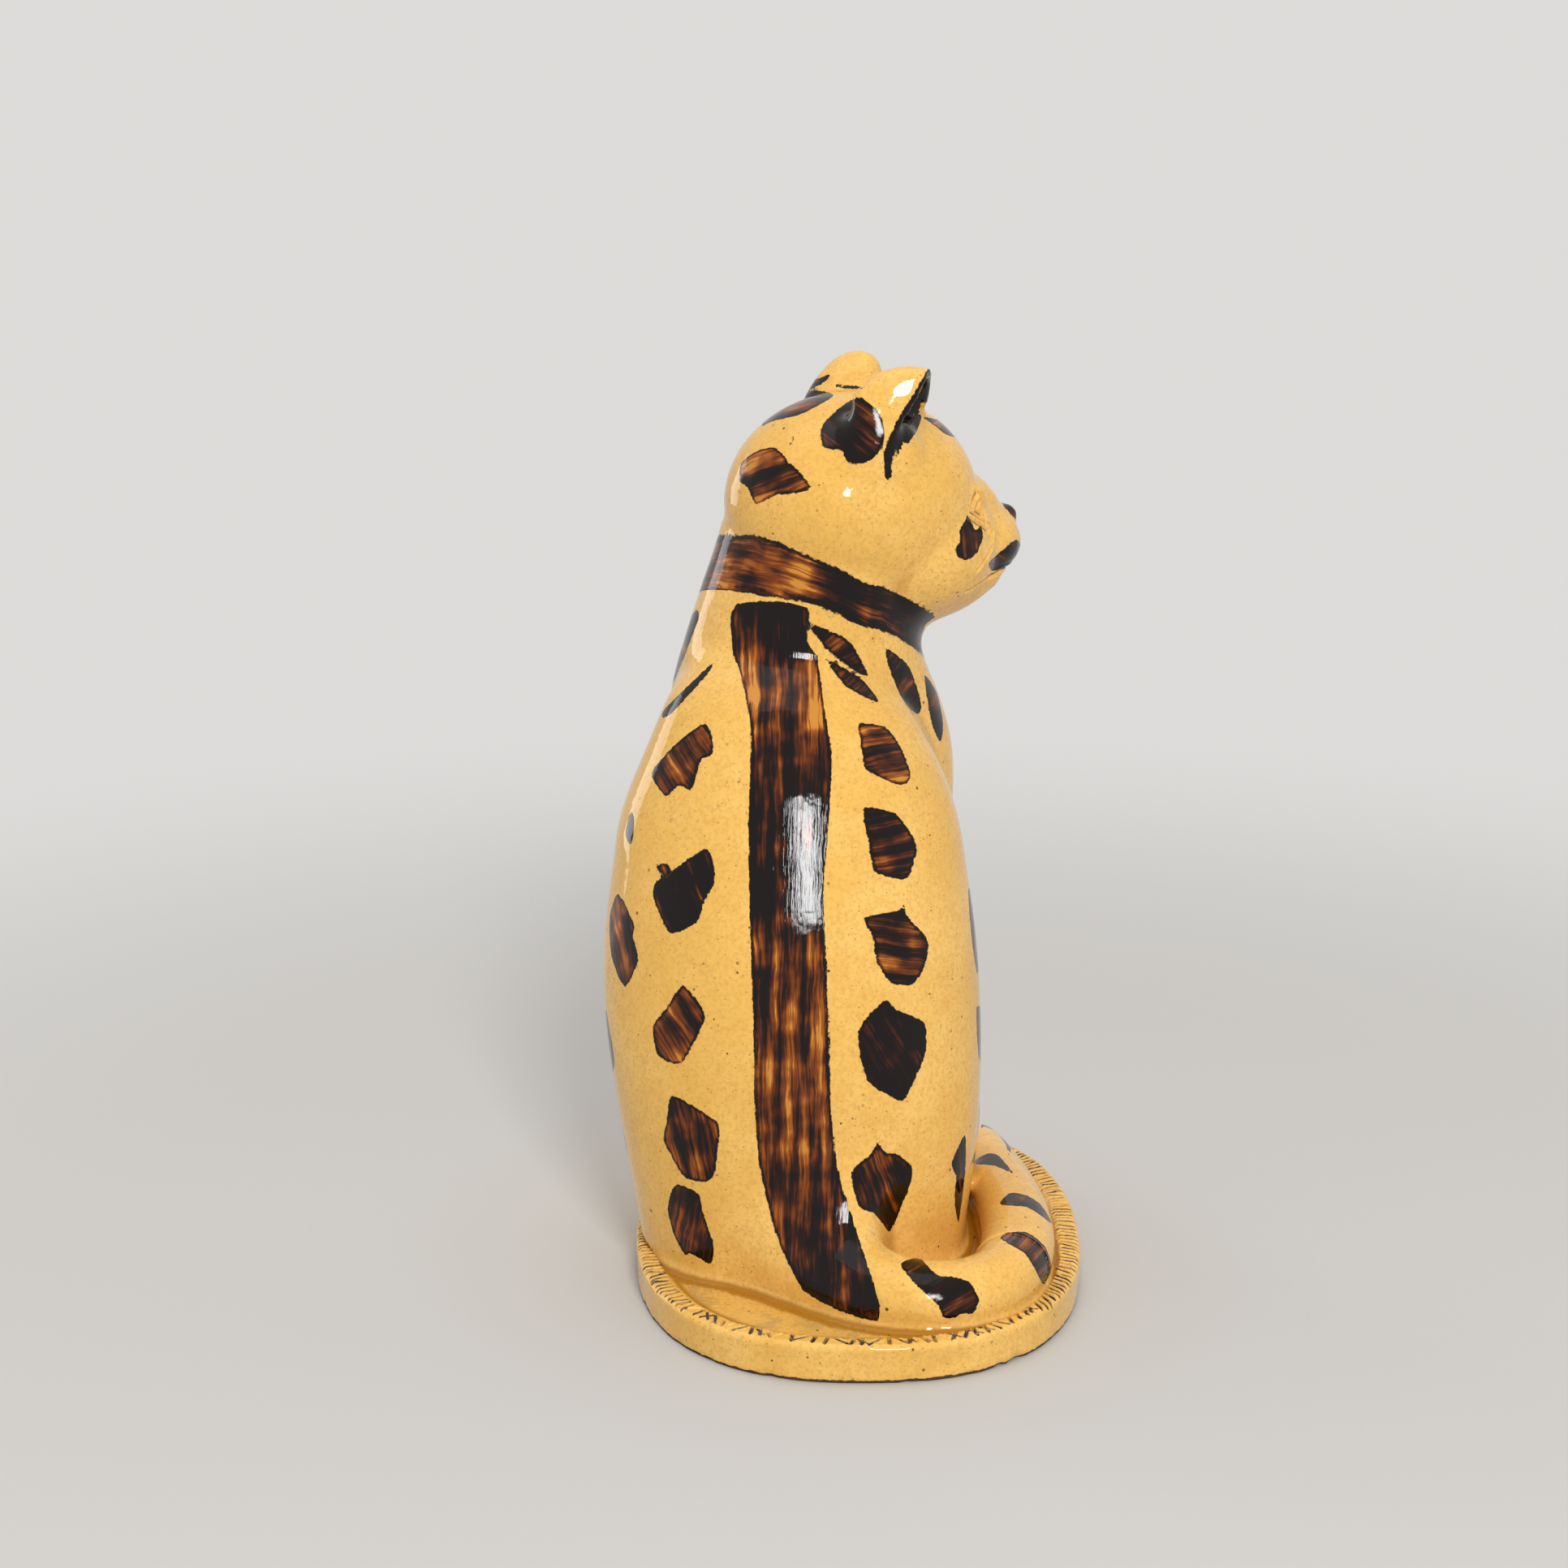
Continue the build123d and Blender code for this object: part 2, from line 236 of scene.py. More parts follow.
parts, triangles, owners, corners = [], [], [], []
for number, name in enumerate(clay_nodes):
    part = bpy.data.objects.new("clay_" + name, cad[name].data.copy())
    bpy.context.collection.objects.link(part)
    at_work(part, lambda: bpy.ops.mesh.remove_doubles(threshold=1e-7))
    part.data.calc_loop_triangles()
    triangles.append(read(part.data.loop_triangles, "vertices", 3, np.int64) + sum(len(c) for c in corners))
    corners.append(places(part))
    owners.append(np.full(len(triangles[-1]), number))
    parts.append(part)
owners = np.concatenate(owners)
solids = BVHTree.FromPolygons(np.concatenate(corners).tolist(), np.concatenate(triangles).tolist())

look, aside, middle = Vector((-0.940, -0.342, 0.0)), Vector((0.342, -0.940, 0.0)), Vector((0.003, -0.043, 0.2995))


def on_head(forward, left, up):
    """A place on the head, in millimetres before its middle, to the cat's own left, and above."""
    return middle + (look * forward + aside * left + Vector((0.0, 0.0, up))) * 0.001


# The far ear is a blunt pinched leaf. The near one is drawn out wider: its back runs flush up the side
# of the head and its tip curls forward over the hollow. Both were shaped by hand, so they differ.
far_ear, near_ear = clay_nodes.index("ear_left"), clay_nodes.index("ear_right")
far_ear_root, near_ear_hollow = on_head(3.0, 27.0, 29.5), on_head(16.0, -31.0, 40.0)
for vertex in parts[far_ear].data.vertices:
    if vertex.co.x > far_ear_root.x:
        vertex.co.x = far_ear_root.x + (vertex.co.x - far_ear_root.x) * 0.86
climbs = (0.0, 0.25, 0.5, 0.75, 0.9, 1.0)
outer_rim = [(-4.0, -43.3, 15.0), (-2.6, -42.6, 23.5), (3.6, -40.0, 32.1),
             (11.4, -38.3, 42.4), (15.0, -37.9, 49.2), (17.2, -37.0, 52.0)]
back_line = [(-10.0, -31.0, 16.0), (-11.5, -29.5, 32.5), (-8.8, -28.8, 44.6),
             (-0.8, -29.0, 51.1), (7.4, -32.0, 53.6), (15.4, -35.9, 53.0)]
inner_rim = [(23.0, -12.0, 31.0), (25.0, -13.0, 37.0), (25.8, -16.0, 42.0),
             (24.8, -21.5, 48.0), (21.8, -28.8, 51.6), (18.4, -35.0, 52.6)]
bpy.ops.mesh.primitive_grid_add(x_subdivisions=20, y_subdivisions=28, size=2.0)
leaf = bpy.context.object
for vertex in leaf.data.vertices:
    over, up = vertex.co.x, (vertex.co.y + 1.0) / 2.0
    outer, back, inner = (np.array([np.interp(up, climbs, way) for way in zip(*line)])
                          for line in (outer_rim, back_line, inner_rim))
    vertex.co = on_head(*(outer * over * (over - 1.0) / 2.0 + back * (1.0 - over ** 2)
                          + inner * over * (over + 1.0) / 2.0))
press(leaf, "SOLIDIFY", thickness=0.0036, offset=0.0)
bpy.data.objects.remove(parts[near_ear])
parts[near_ear] = leaf

# A pad of clay on each side carries the cheek straight up into the back of the ear.
for out in (-1.0, 1.0):
    bpy.ops.mesh.primitive_uv_sphere_add(segments=48, ring_count=24, radius=1.0)
    pad = bpy.context.object
    pad.scale = (0.0200, 0.0140, 0.0225)
    pad.rotation_euler = (0.0, 0.0, math.atan2(look.y, look.x))
    pad.location = on_head(0.0, 28.6 * out, 15.0)
    bpy.ops.object.transform_apply()
    parts.append(pad)

# The back runs down into the tail in one slope, which is filled out here with a wedge of clay. It is
# drawn from above, in millimetres: the line of the back, and the line where the slope meets the slab.
back_of_cat = ((-20, -10, 0, 10, 20, 30, 40, 50), (55.5, 60.5, 63.5, 65.0, 65.5, 65.5, 64.5, 62.5))
foot_of_slope = ((-10, 0, 10, 20, 30, 40, 50), (101.0, 97.0, 91.0, 83.0, 74.5, 66.0, 60.0))
inside_y, slope_top = 40.0, 82.0
bpy.ops.mesh.primitive_cube_add(size=1.0)
wedge = bpy.context.object
at_work(wedge, lambda: bpy.ops.mesh.subdivide(number_cuts=23))
for vertex in wedge.data.vertices:
    x, z = 18.0 + 60.0 * vertex.co.x, 48.0 + 68.0 * vertex.co.z
    back, foot = np.interp(x, *back_of_cat), np.interp(x, *foot_of_slope)
    fade = min(1.0, max(0.0, (x + 11.0) / 14.0))
    slope = back + fade * fade * (3.0 - 2.0 * fade) * (foot - back) * (max(0.0, slope_top - z) / 66.0) ** 1.6
    vertex.co = (x * 0.001, (inside_y + (slope - inside_y) * (vertex.co.y + 0.5)) * 0.001, z * 0.001)
parts.append(wedge)

bpy.ops.mesh.primitive_cube_add(size=1.0, location=(0.0, 0.0, floor_z - 0.005))
bed = bpy.context.object
bed.scale = (0.158, 0.222, 0.010)
bpy.ops.object.transform_apply()
take(parts[clay_nodes.index("body")])
for part in parts + [bed]:
    part.select_set(True)
bpy.ops.object.join()
clay = bpy.context.object
clay.name = "clay"
clay.data.materials.clear()


def even_out(values, pairs, rounds):
    """Averages values over neighbouring points of a mesh."""
    count = np.bincount(pairs.reshape(-1), minlength=len(values)).astype(float)
    count[count == 0] = 1.0
    flat = values.reshape(len(values), -1)
    for _ in range(rounds):
        near = np.empty_like(flat)
        for k in range(flat.shape[1]):
            near[:, k] = (np.bincount(pairs[:, 0], flat[pairs[:, 1], k], len(values))
                          + np.bincount(pairs[:, 1], flat[pairs[:, 0], k], len(values)))
        flat = 0.5 * flat + 0.5 * near / count[:, None]
    return flat.reshape(values.shape)


def lasting(piece, name, values):
    """Keeps one number, or one vector, on each point of a mesh."""
    kind, field = ("FLOAT", "value") if values.ndim == 1 else ("FLOAT_VECTOR", "vector")
    held = piece.data.attributes.get(name) or piece.data.attributes.new(name, kind, "POINT")
    held.data.foreach_set(field, values.astype(np.float32).reshape(-1))


def kept(piece, name, width=1):
    """Gives back what was kept on the points of a mesh."""
    items = piece.data.attributes[name].data
    return read(items, "value" if width == 1 else "vector", width, np.float32).astype(float)


def fading(distance, reach, full=1.0):
    """A share that falls from its full value, held at one at most, to nothing over some reach."""
    return np.clip(full - distance / reach, 0.0, 1.0)


def from_place(spots, place):
    return np.linalg.norm(spots - np.array(place), axis=1)


def soften(name, share, factor, rounds):
    """Smooths the clay at each point by its share."""
    group = clay.vertex_groups.new(name=name)
    for index in np.flatnonzero(share > 0.02):
        group.add([int(index)], float(share[index]), "REPLACE")
    press(clay, "SMOOTH", factor=factor, iterations=rounds, vertex_group=name)


press(clay, "REMESH", mode="VOXEL", voxel_size=grain, adaptivity=0.0)
topmost = np.zeros(len(clay.data.vertices), bool)
topmost[places(clay)[:, 2].argmax()] = True
at_work(clay, bpy.ops.mesh.select_linked, lambda: bpy.ops.mesh.select_all(action="INVERT"),
        lambda: bpy.ops.mesh.delete(type="VERT"), chosen=topmost)
press(clay, "SMOOTH", factor=0.5, iterations=5)

# Every join is wiped with a wet finger: the sharper a hollow, the more it is softened. The nape and
# the backs of the ears are wiped most, and the root of the tail is drawn out without a crease.
pairs, before = ends(clay), places(clay)
hollow = np.einsum("ij,ij->i", even_out(before, pairs, 6) - before, normals(clay))
soften("joins", even_out(np.clip(hollow / 0.00012, 0.0, 1.0), pairs, 4), factor=0.6, rounds=26)
spots = places(clay)
shawl = fading(np.abs(spots[:, 2] - 0.247), 0.018, 1.2) * (np.hypot(spots[:, 0] - 0.02, spots[:, 1] + 0.043) < 0.075)
for place, reach, full in ((on_head(-11.0, -36.0, 21.0), 0.010, 1.6), (on_head(-12.0, -30.0, 32.0), 0.008, 1.5)):
    shawl = np.maximum(shawl, fading(from_place(spots, place), reach, full))
soften("nape", shawl, factor=0.6, rounds=140)
x, y, z = places(clay).T
root = np.clip((0.066 - x) / 0.012, 0, 1) * np.clip((x + 0.012) / 0.014, 0, 1) * (y > 0.030)
root *= np.clip((0.088 - z) / 0.022, 0, 1) * np.clip((z - 0.0155) / 0.010, 0, 1)
soften("drawn", root, factor=0.8, rounds=120)

# The clay bed under the cat is cut away, and leaves only the fillet wiped along its foot.
at_work(clay, lambda: bpy.ops.mesh.delete(type="VERT"), chosen=places(clay)[:, 2] < floor_z + 0.00012)
spots = places(clay)
spots[:, 2] -= 0.0006 * fading(spots[:, 2] - floor_z, 0.0016)
move(clay, spots)


# Where lines are scored in the face and where the tail has cracked in firing, the mesh is finer.
def finer(near):
    at_work(clay, lambda: bpy.ops.mesh.select_mode(type="FACE"),
            lambda: bpy.ops.mesh.subdivide(number_cuts=1, smoothness=0.0), chosen=near)


def off_line(spots, line):
    """Distance of each spot from a line through points in space, and how far along the line it is."""
    best, reach, gone = np.full(len(spots), 1.0), np.zeros(len(spots)), 0.0
    for a, b in zip(line[:-1], line[1:]):
        run = b - a
        length = np.linalg.norm(run)
        share = np.clip((spots - a) @ run / max(length ** 2, 1e-12), 0.0, 1.0)
        far = np.linalg.norm(spots - a - share[:, None] * run, axis=1)
        nearer = far < best
        best[nearer], reach[nearer] = far[nearer], gone + share[nearer] * length
        gone += length
    return best, reach


one_side = [
    [(43.5, 25.6, 6.0), (40.5, 27.5, 2.0), (38.0, 28.5, -2.5), (41.5, 27.2, -4.5), (46.5, 25.0, -8.0),
     (47.3, 24.0, -3.0), (45.4, 24.7, 2.0), (43.5, 25.6, 6.0)],
    [(44.0, 25.4, 1.5), (41.6, 27.0, -2.4), (45.6, 25.2, -4.9)],
    [(36.5, 29.5, -5.0), (41.5, 28.0, -8.0), (46.5, 25.5, -11.5)],
    [(47.8, 24.4, -8.0), (50.2, 23.0, -12.0), (49.3, 25.4, -17.0), (46.0, 28.3, -21.0), (41.0, 30.5, -25.5)],
    [(65.0, 2.0, -27.0), (62.5, 8.0, -27.6), (58.5, 13.0, -28.8), (54.8, 15.9, -30.2), (49.1, 20.8, -31.0),
     (42.8, 25.0, -32.4), (38.0, 27.0, -34.8)],
]
face_lines = [[on_head(f, side * l, u) for f, l, u in line] for line in one_side for side in (1, -1)]
tail_crack = [(-46, 62, 19), (-46, 58, 25), (-49, 57, 31), (-55, 57, 33.5), (-62, 59, 33.5), (-67, 61, 29),
              (-70, 63, 22), (-71, 64, 15)]
crack_line = np.array(tail_crack) * 0.001
spots = places(clay)
front = (spots - np.array(middle)) @ np.array(look)
finer((front > 0.026) & (spots[:, 2] > 0.24) & (from_place(spots, middle) < 0.085))
finer(off_line(places(clay), crack_line)[0] < 0.0050)
spots = places(clay)
lined = np.min([off_line(spots, np.array(line))[0] for line in face_lines], axis=0)
finer((lined < 0.0030) | (off_line(spots, crack_line)[0] < 0.0026))
pairs, spots = ends(clay), places(clay)
smoothed = even_out(spots, pairs, 2)
lengths = np.linalg.norm(smoothed[pairs[:, 0]] - smoothed[pairs[:, 1]], axis=1)
spacing = np.bincount(pairs.reshape(-1), np.repeat(lengths, 2), len(smoothed))
spacing /= np.maximum(np.bincount(pairs.reshape(-1), minlength=len(smoothed)), 1)
move(clay, np.where((spacing < 0.00115)[:, None], smoothed, spots))


def score(lines, width, depth, ridge):
    """Presses lines into the clay with a pointed stick, which throws up a low ridge at each side."""
    spots, away = places(clay), normals(clay)
    skin_tree = BVHTree.FromPolygons(spots.tolist(), [tuple(p.vertices) for p in clay.data.polygons])
    pressed = np.zeros(len(spots))
    for line in lines:
        path = [a.lerp(b, t) for a, b in zip(line[:-1], line[1:]) for t in (0.0, 0.25, 0.5, 0.75)] + [line[-1]]
        path = np.array([skin_tree.find_nearest(place)[0] for place in path])
        near = from_place(spots, path.mean(0)) < 0.045
        far, reach = off_line(spots[near], path)
        total = np.linalg.norm(np.diff(path, axis=0), axis=1).sum()
        fade = np.clip(np.minimum(reach, total - reach) / 0.0015 + 0.35, 0.0, 1.0)
        cut = fade * (np.exp(-(far / width) ** 2) - ridge * np.exp(-((far - 2.0 * width) / width) ** 2))
        worse = np.abs(cut) > np.abs(pressed[near])
        pressed[np.flatnonzero(near)[worse]] = cut[worse]
    move(clay, spots - away * (pressed * depth)[:, None])
    return np.clip(pressed, 0.0, 1.0)


drawn_face = score(face_lines, width=0.00080, depth=0.00105, ridge=0.30)
cracked = score([[Vector(place) * 0.001 for place in tail_crack]], width=0.00050, depth=0.0006, ridge=0.45)
lasting(clay, "scored", np.maximum(cracked, 0.55 * drawn_face))

# Glaze pools in the hollows and along the foot.
pairs, spots = ends(clay), places(clay)
pooled = np.einsum("ij,ij->i", even_out(spots, pairs, 14) - spots, normals(clay))
pooled = np.clip(even_out(pooled, pairs, 3) / 0.0007, -1.0, 1.0)
pooled *= np.clip((spots[:, 2] - floor_z) / 0.014, 0.12, 1.0)
lasting(clay, "pooled", np.maximum(pooled, np.exp(-((spots[:, 2] - floor_z - 0.0003) / 0.0014) ** 2)))

# The neck is closed with a straight cut, hidden by the painted collar.
seam_at, seam_way = Vector((0.019, -0.043, 0.249)), Vector((-0.30, -0.36, 1.0)).normalized()
at_work(clay, lambda: bpy.ops.mesh.bisect(plane_co=seam_at, plane_no=seam_way, threshold=1e-6))

# Each bit of the skin belongs to the solid it lies on. No mark is painted on it yet.
unmarked = 9.0
middles = read(clay.data.polygons, "center")
belongs = np.array([owners[solids.find_nearest(m)[2]] for m in middles])
above = (middles - np.array(seam_at)) @ np.array(seam_way) > 0
head_parts = ("head", "ear", "muzzle", "lower", "nose", "eye")
in_head = np.isin(belongs, [clay_nodes.index(name) for name in clay_nodes if name.split("_")[0] in head_parts])
belongs[above & ~in_head] = clay_nodes.index("head")
belongs[~above & in_head] = clay_nodes.index("body")
lasting(clay, "skin_way", normals(clay))
lasting(clay, "mark_edge", np.full(len(clay.data.vertices), unmarked))
lasting(clay, "mark_stroke", np.zeros((len(clay.data.vertices), 3)))

# The glaze.
# A clear honey-yellow lead glaze over pale clay: deep and glassy, a little uneven and orange-peeled,
# sprinkled with fine iron specks, and amber where it has pooled thickly in hollows and along joins.
glaze = bpy.data.materials.new("honey_glaze")
glaze.use_nodes = True
net = glaze.node_tree
skin = net.nodes["Principled BSDF"]
for name, value in (("Roughness", 0.5), ("Specular IOR Level", 0.0), ("IOR", 1.5),
                    ("Coat Roughness", 0.045), ("Coat IOR", 1.35)):
    join(value, skin.inputs[name])
objects = add("TexCoord").outputs["Object"]


def blended(share, under, over):
    """Lays one colour over another by a share between 0 and 1."""
    node = add("Mix", data_type="RGBA")
    for value, slot in ((share, 0), (under, 6), (over, 7)):
        join(value, node.inputs[slot])
    return node.outputs[2]


def layer(name, output="Fac"):
    return add("Attribute", attribute_name=name).outputs[output]


def noise(scale, detail=2.0, roughness=0.5, vector=objects):
    return add("TexNoise", Scale=scale, Detail=detail, Roughness=roughness, Vector=vector).outputs["Fac"]


def swing(value, reach, rest=0.5):
    """Makes a noise swing to both sides of nothing."""
    return sums("MULTIPLY", sums("SUBTRACT", value, rest), reach)


def cells(scale):
    """Scattered points: the distance to the nearest one, and two numbers that are its own."""
    node = add("TexVoronoi", Scale=scale, Vector=objects)
    own = add("SeparateColor", Color=node.outputs["Color"]).outputs
    return node.outputs["Distance"], own[0], own[1]


pebbles = noise(620.0, 2.0, 0.55)
honey = blended(between(noise(22.0, 3.0, 0.55), 0.36, 0.66), (0.850, 0.490, 0.105), (0.930, 0.570, 0.155))
honey = blended(between(noise(160.0, 3.0, 0.6), 0.40, 0.72, 0.0, 0.5), honey, (0.800, 0.430, 0.085))
honey = blended(between(pebbles, 0.42, 0.68, 0.0, 0.40), honey, (0.640, 0.330, 0.075))
pooling = layer("pooled")
honey = blended(between(pooling, 0.08, 0.80, 0.0, 0.95), honey, (0.400, 0.165, 0.006))
height = add("SeparateXYZ", Vector=objects).outputs["Z"]
dust = sums("MULTIPLY", between(height, floor_z + 0.0030, floor_z + 0.0005), between(pooling, 0.18, 0.30),
            between(pooling, 0.62, 0.40), between(noise(130.0, 4.0, 0.68), 0.46, 0.64, 0.0, 0.42))
honey = blended(dust, honey, (0.230, 0.165, 0.100))
honey = blended(between(pooling, -0.25, -0.9, 0.0, 0.35), honey, (0.900, 0.620, 0.270))

distance, pick, other_pick = cells(235.0)
specks = sums("LESS_THAN", distance, between(pick, 0.60, 1.0, 0.0, 0.17, smooth=False))
specks = sums("MULTIPLY", specks, between(other_pick, 0.0, 1.0, 0.25, 0.95))
honey = blended(specks, honey, (0.085, 0.035, 0.012))
distance, pick, _ = cells(760.0)
pins = sums("LESS_THAN", distance, between(pick, 0.55, 1.0, 0.0, 0.26, smooth=False))
honey = blended(sums("MULTIPLY", pins, 0.60), honey, (0.260, 0.110, 0.025))

# The brushed marks.
# Iron and manganese slip laid under the glaze with a stiff flat brush: near black where it lies
# thick, along the edges and at the end of a stroke, and streaky chestnut to amber where it is thin.
along, across, ink = add("SeparateXYZ", Vector=layer("mark_stroke", "Vector")).outputs
hairs = add("CombineXYZ", X=sums("MULTIPLY", along, 0.06), Y=sums("ADD", across, swing(noise(60.0), 3.2))).outputs[0]
fine_hairs = noise(0.85, 3.0, 0.6, hairs)
rough_edge = sums("ADD", layer("mark_edge"), swing(noise(520.0, 2.0, 0.6), 1.5), swing(fine_hairs, 1.6))
marked = between(rough_edge, 0.22, -0.22)
rim = between(rough_edge, -0.2, -1.9, 1.0, 0.0)
slip = sums("ADD", ink, swing(fine_hairs, 1.45), swing(noise(0.24, 1.0, 0.5, hairs), 1.8),
            swing(noise(75.0), 1.7, 0.46), sums("MULTIPLY", rim, 0.55))
shades = add("ValToRGB")
shades.color_ramp.interpolation = "EASE"
thin, thick = shades.color_ramp.elements
thin.position, thin.color = 0.0, (0.600, 0.250, 0.035, 1.0)
thick.position, thick.color = 1.0, (0.0042, 0.0016, 0.0012, 1.0)
for step, tint in ((0.20, (0.340, 0.090, 0.006, 1.0)), (0.42, (0.165, 0.036, 0.003, 1.0)),
                   (0.62, (0.056, 0.0105, 0.0013, 1.0)), (0.82, (0.013, 0.0025, 0.0012, 1.0))):
    shades.color_ramp.elements.new(step).color = tint
join(slip, shades.inputs[0])
painted = blended(marked, honey, shades.outputs[0])

# Cut lines take a blue-black stain, and the foot is bare scorched clay. The surface is peeled like an
# orange, the clear coat over it waves, and the bristles of the brush show through it on the marks.
stain = sums("MULTIPLY", between(layer("scored"), 0.25, 0.75), between(noise(190.0, 2.0, 0.6), 0.38, 0.56, 0.55, 1.0))
painted = blended(stain, painted, (0.030, 0.036, 0.048))
bare = between(sums("ADD", layer("bare"), swing(noise(420.0, 3.0, 0.6), 0.9)), 0.42, 0.58)
scorched = blended(noise(300.0, 3.0, 0.6), (0.020, 0.014, 0.010), (0.190, 0.110, 0.060))
join(blended(bare, painted, scorched), skin.inputs["Base Color"])
join(sums("SUBTRACT", 1.0, bare), skin.inputs["Coat Weight"])
peel = sums("ADD", sums("MULTIPLY", noise(260.0), 0.40), sums("MULTIPLY", pebbles, 0.60))
join(add("Bump", Strength=1.0, Distance=0.00024, Height=peel).outputs[0], skin.inputs["Normal"])
waves = sums("ADD", noise(240.0, 1.5), sums("MULTIPLY", noise(70.0), 3.6), sums("MULTIPLY", marked, fine_hairs, 1.3))
join(add("Bump", Strength=1.0, Distance=0.00006, Height=waves).outputs[0], skin.inputs["Coat Normal"])

# How the marks are laid out.
# The painter works from one side at a time, so each mark is an outline on an upright board through
# the middle of the plinth, in millimetres across and up, laid on the clay from that side.
sides = {"behind": (np.array(eye_behind), 1), "front": (np.array((0.02, -1.30, 0.34)), 1),
         "left": (np.array((1.30, 0.0, 0.30)), 0), "right": (np.array((-1.30, 0.0, 0.30)), 0)}


def rounded(outline):
    """Runs a soft line through the points of an outline, with its corners a little rounded."""
    points = np.array(outline, float)
    line = []
    for k in range(len(points)):
        a, b, c, d = (points[(k + s) % len(points)] for s in (-1, 0, 1, 2))
        for t in (0.0, 0.25, 0.5, 0.75):
            curve = 0.5 * (2 * b + (c - a) * t + (2 * a - 5 * b + 4 * c - d) * t * t
                           + (3 * b - a - 3 * c + d) * t ** 3)
            line.append(0.35 * (b + (c - b) * t) + 0.65 * curve)
    return np.array(line)


def off_outline(spots, outline):
    """How far each spot is outside an outline, in millimetres; inside it the number is below nothing."""
    start, stop = outline, np.roll(outline, -1, axis=0)
    run = stop - start
    rel = spots[:, None, :] - start[None]
    share = np.clip((rel * run).sum(2) / np.maximum((run ** 2).sum(1), 1e-9), 0.0, 1.0)
    far = np.sqrt(((rel - share[..., None] * run) ** 2).sum(2).min(1))
    x, z = spots.T[..., None]
    crosses = (start[:, 1] > z) != (stop[:, 1] > z)
    with np.errstate(divide="ignore", invalid="ignore"):
        at = start[:, 0] + (z - start[:, 1]) * run[:, 0] / np.where(run[:, 1] == 0, 1e-9, run[:, 1])
    inside = ((crosses & (x < at)).sum(1) % 2) == 1
    return np.where(inside, -far, far)


def paint(piece, marks, wrap=0.0):
    """Lays marks on a piece: (side, outline, brush angle, ink, or (height, ink) steps)."""
    spots, away = places(piece), kept(piece, "skin_way", 3)
    nearest, strokes = kept(piece, "mark_edge"), kept(piece, "mark_stroke", 3)
    for number, (side, outline, angle, ink) in enumerate(marks):
        eye, axis = sides[side]
        ray = eye - spots
        slant = (ray * away).sum(1) / np.linalg.norm(ray, axis=1)
        share = eye[axis] / (eye[axis] - spots[:, axis])
        board = (eye + (spots - eye) * share[:, None])[:, [1 - axis, 2]] * 1000.0
        line = rounded(outline)
        close = (board > line.min(0) - unmarked).all(1) & (board < line.max(0) + unmarked).all(1)
        place = np.flatnonzero(close & (slant > wrap))
        if not len(place):
            continue
        far = off_outline(board[place], line) / np.clip(slant[place], 0.22, 1.0)
        better = far < nearest[place]
        place, far = place[better], far[better]
        nearest[place] = far
        x, z = board[place].T
        turn = math.radians(angle)
        strokes[place, 0] = x * math.cos(turn) + z * math.sin(turn) + 53.0 * number
        strokes[place, 1] = z * math.cos(turn) - x * math.sin(turn) + 17.0 * number
        strokes[place, 2] = ink if isinstance(ink, float) else np.interp(z, *zip(*ink))
    lasting(piece, "mark_edge", nearest)
    lasting(piece, "mark_stroke", strokes)


def lay(piece, far, along, across, ink):
    """Lays one more mark, given how far each point is outside it and how the brush ran."""
    nearest, strokes = kept(piece, "mark_edge"), kept(piece, "mark_stroke", 3)
    better = far < nearest
    nearest[better] = far[better]
    strokes[better] = np.stack([np.broadcast_to(value, far.shape) for value in (along, across, ink)], 1)[better]
    lasting(piece, "mark_edge", nearest)
    lasting(piece, "mark_stroke", strokes)


def spot(side, across, up, wide, tall, tilt, ink, hand):
    """A ragged lozenge as the painter makes with two or three dabs of a flat brush."""
    wander = np.random.default_rng(100 + hand)
    turn = math.radians(tilt)
    outline = []
    for x, z in ((0.0, 1.0), (0.42, 0.62), (0.95, 0.22), (1.0, -0.18), (0.5, -0.62),
                 (0.05, -1.0), (-0.55, -0.66), (-1.0, -0.12), (-0.85, 0.35), (-0.45, 0.7)):
        x, z = (x + wander.uniform(-0.14, 0.14)) * wide / 2, (z + wander.uniform(-0.12, 0.12)) * tall / 2
        outline.append((across + x * math.cos(turn) - z * math.sin(turn),
                        up + x * math.sin(turn) + z * math.cos(turn)))
    return (side, outline, 75.0 + tilt + wander.uniform(-25.0, 25.0), ink)


for name in clay_nodes:
    clay.data.materials.append(bpy.data.materials.new("part_" + name))
clay.data.polygons.foreach_set("material_index", belongs.astype(np.int32))
clay.data.polygons.foreach_set("use_smooth", np.ones(len(belongs), bool))
at_work(clay, lambda: bpy.ops.mesh.separate(type="MATERIAL"))
parted = {}
for piece in [clay] + [found for found in bpy.context.selected_objects if found != clay]:
    name = piece.data.materials[piece.data.polygons[0].material_index].name.removeprefix("part_")
    parted[name] = piece
    piece.name = piece.data.name = name + "_glazed"
    piece.data.materials.clear()
    piece.data.materials.append(glaze)
    piece.vertex_groups.clear()


def fire(name, wall):
    """Gives a parted piece its clay wall, the shading of the whole skin, and its place among the pieces."""
    piece = parted[name]
    shown = len(piece.data.vertices)
    press(piece, "SOLIDIFY", thickness=wall, offset=-1.0)
    spots = places(piece)
    spots[:, 2] = np.maximum(spots[:, 2], floor_z - 0.0004)
    move(piece, spots)
    away = kept(piece, "skin_way", 3)
    away[shown:] = 0.0
    piece.data.normals_split_custom_set_from_vertices(away.tolist())
    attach(piece, "root")
    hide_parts(name)


# The trunk.
# A hollow barrel of clay with the breast and neck in one, closed in at the shoulders. A broad brushed
# band runs from the collar down the spine to the root of the tail, with a row of spots each side.
def behind(*marks):
    """Marks laid from behind: the outline, brush angle and ink of each."""
    return [("behind",) + mark for mark in marks]


